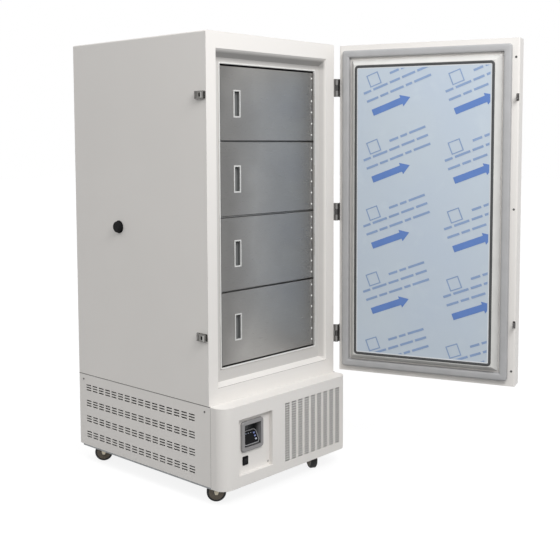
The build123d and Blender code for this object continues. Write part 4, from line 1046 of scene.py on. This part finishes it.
def build_seams():
    """Dark beads where the base meets the cabinet, and fine grey ones at the front cover and the recess's sill:
    painted shade of the seam lines.
    """
    seams, joins = bmesh.new(), bmesh.new()
    for side, out in (("left", -1), ("right", 1)):
        low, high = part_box(f"side_panel_{side}")
        x = low.x if out < 0 else high.x
        seam, top = high.z + SEAM_LIFT, high.z - SEAM_BEAD[0]
        bead(seams, (x, low.y, seam), (x, high.y, seam), (out, 0, 0), SEAM_BEAD)
        bead(joins, (x, low.y, low.z), (x, low.y, top), (out, 0, 0), JOINT_BEAD)
    low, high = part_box("front_frame")
    sill = low.z + RECESS_EDGE[1]
    left, right = low.x + RECESS_EDGE[0], high.x - RECESS_EDGE[0]
    bead(joins, (left, low.y, sill), (right, low.y, sill), (0, -1, 0), JOINT_BEAD)
    piece("seam_beads", seams, SEAM_SHADE, "cabinet")
    piece("joint_beads", joins, JOINT_SHADE, "cabinet")


def build_latch_details():
    """A finger lip in a brighter metal as a painted highlight, and a dark seam as painted shade, across each latch
    lever.
    """
    for level in ("lower", "upper"):
        body = f"latch_lever_{level}"
        low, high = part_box(body)
        bottom, top = low.z + LATCH_INSET, high.z - LATCH_INSET
        lip_y, seam_y = low.y + LATCH_LIP_BACK, high.y - LATCH_SEAM_AHEAD
        for name, y, size, finish in (
            ("latch_lip", lip_y, LATCH_LIP, LIP_HIGHLIGHT),
            ("latch_seam", seam_y, LATCH_SEAM, SEAM_SHADE),
        ):
            mesh = bmesh.new()
            bead(mesh, (low.x, y, bottom), (low.x, y, top), (-1, 0, 0), size)
            piece(f"{name}_{level}", mesh, finish, body)


# Camera, floor and light

def build_camera():
    data = bpy.data.cameras.new("camera")
    data.sensor_width = CAMERA_SENSOR
    data.lens = CAMERA_LENS
    data.shift_y = CAMERA_SHIFT_Y
    camera = added("camera", data)
    yaw, pitch = math.radians(CAMERA_YAW), math.radians(CAMERA_PITCH)
    ahead = Vector((math.sin(yaw) * math.cos(pitch), math.cos(yaw) * math.cos(pitch), math.sin(pitch)))
    roll = Matrix.Rotation(math.radians(CAMERA_ROLL), 4, "Z")
    camera.matrix_world = Matrix.Translation(CAMERA_AT) @ aimed(ahead) @ roll
    bpy.context.scene.camera = camera


def seen_directly(tree):
    """1 for rays from the camera, from a mirror or through glass, 0 for light on a surface."""
    path = tree.nodes.new("ShaderNodeLightPath")
    total = path.outputs["Is Camera Ray"]
    for name in ("Is Glossy Ray", "Is Transmission Ray"):
        node = tree.nodes.new("ShaderNodeMath")
        node.operation = "MAXIMUM"
        tree.links.new(total, node.inputs[0])
        tree.links.new(path.outputs[name], node.inputs[1])
        total = node.outputs[0]
    return total


def build_floor():
    """A pale floor that looks white and keeps the object's shadow."""
    mesh = bmesh.new()
    bmesh.ops.create_grid(mesh, x_segments=1, y_segments=1, size=FLOOR_SPAN / 2)
    data = bpy.data.meshes.new("floor")
    mesh.to_mesh(data)
    mesh.free()
    floor = added("floor", data)
    grey = [FLOOR_GREY] * 3
    pale = Finish("floor_pale", grey, roughness=0.9)
    pale.set("Specular IOR Level", 0.0)
    pale.tint(pale.ramp(pale.noise(0.8), 0.4, 0.7, high=0.4), shaded(grey, 0.97))
    pale.set("Emission Color", WHITE_LIGHT)
    glow = pale.ramp(seen_directly(pale.tree), 0.0, 1.0, high=FLOOR_GLOW)
    pale.link(glow, pale.shader.inputs["Emission Strength"])
    floor.data.materials.append(pale.material)


def build_surround():
    """An even surround, white where it is seen and a soft sky where it lights the object."""
    world = bpy.data.worlds.new("surround")
    bpy.context.scene.world = world
    world.use_nodes = True
    tree = world.node_tree
    background = tree.nodes["Background"]
    background.inputs["Color"].default_value = WHITE_LIGHT
    place = tree.nodes.new("ShaderNodeTexCoord")
    height = tree.nodes.new("ShaderNodeSeparateXYZ")
    tree.links.new(place.outputs["Generated"], height.inputs["Vector"])
    sky = tree.nodes.new("ShaderNodeMapRange")
    sky.inputs["To Min"].default_value = SKY_LOW
    sky.inputs["To Max"].default_value = SKY_HIGH
    tree.links.new(height.outputs["Z"], sky.inputs["Value"])
    level = tree.nodes.new("ShaderNodeMapRange")
    level.inputs["To Max"].default_value = 1.0
    tree.links.new(sky.outputs["Result"], level.inputs["To Min"])
    tree.links.new(seen_directly(tree), level.inputs["Value"])
    tree.links.new(level.outputs["Result"], background.inputs["Strength"])


def build_key():
    """One broad soft lamp."""
    lamp = bpy.data.lights.new("key", "AREA")
    lamp.energy = KEY_POWER
    lamp.shape = "DISK"
    lamp.size = KEY_SIZE
    key = added("key", lamp)
    key.matrix_world = Matrix.Translation(KEY_AT) @ aimed(Vector(KEY_AIM) - Vector(KEY_AT))


build_gasket()
build_panel_bead()
build_film()
build_rim_screws()
build_hinge_screws()
build_panel_screws()
build_rivets()
build_trim()
build_controller()
build_pocket_screw()
build_caster_bolts()
build_filters()
build_seams()
build_latch_details()
build_camera()
build_floor()
build_surround()
build_key()
bpy.context.scene.view_settings.view_transform = "Standard"

bpy.context.view_layer.update()
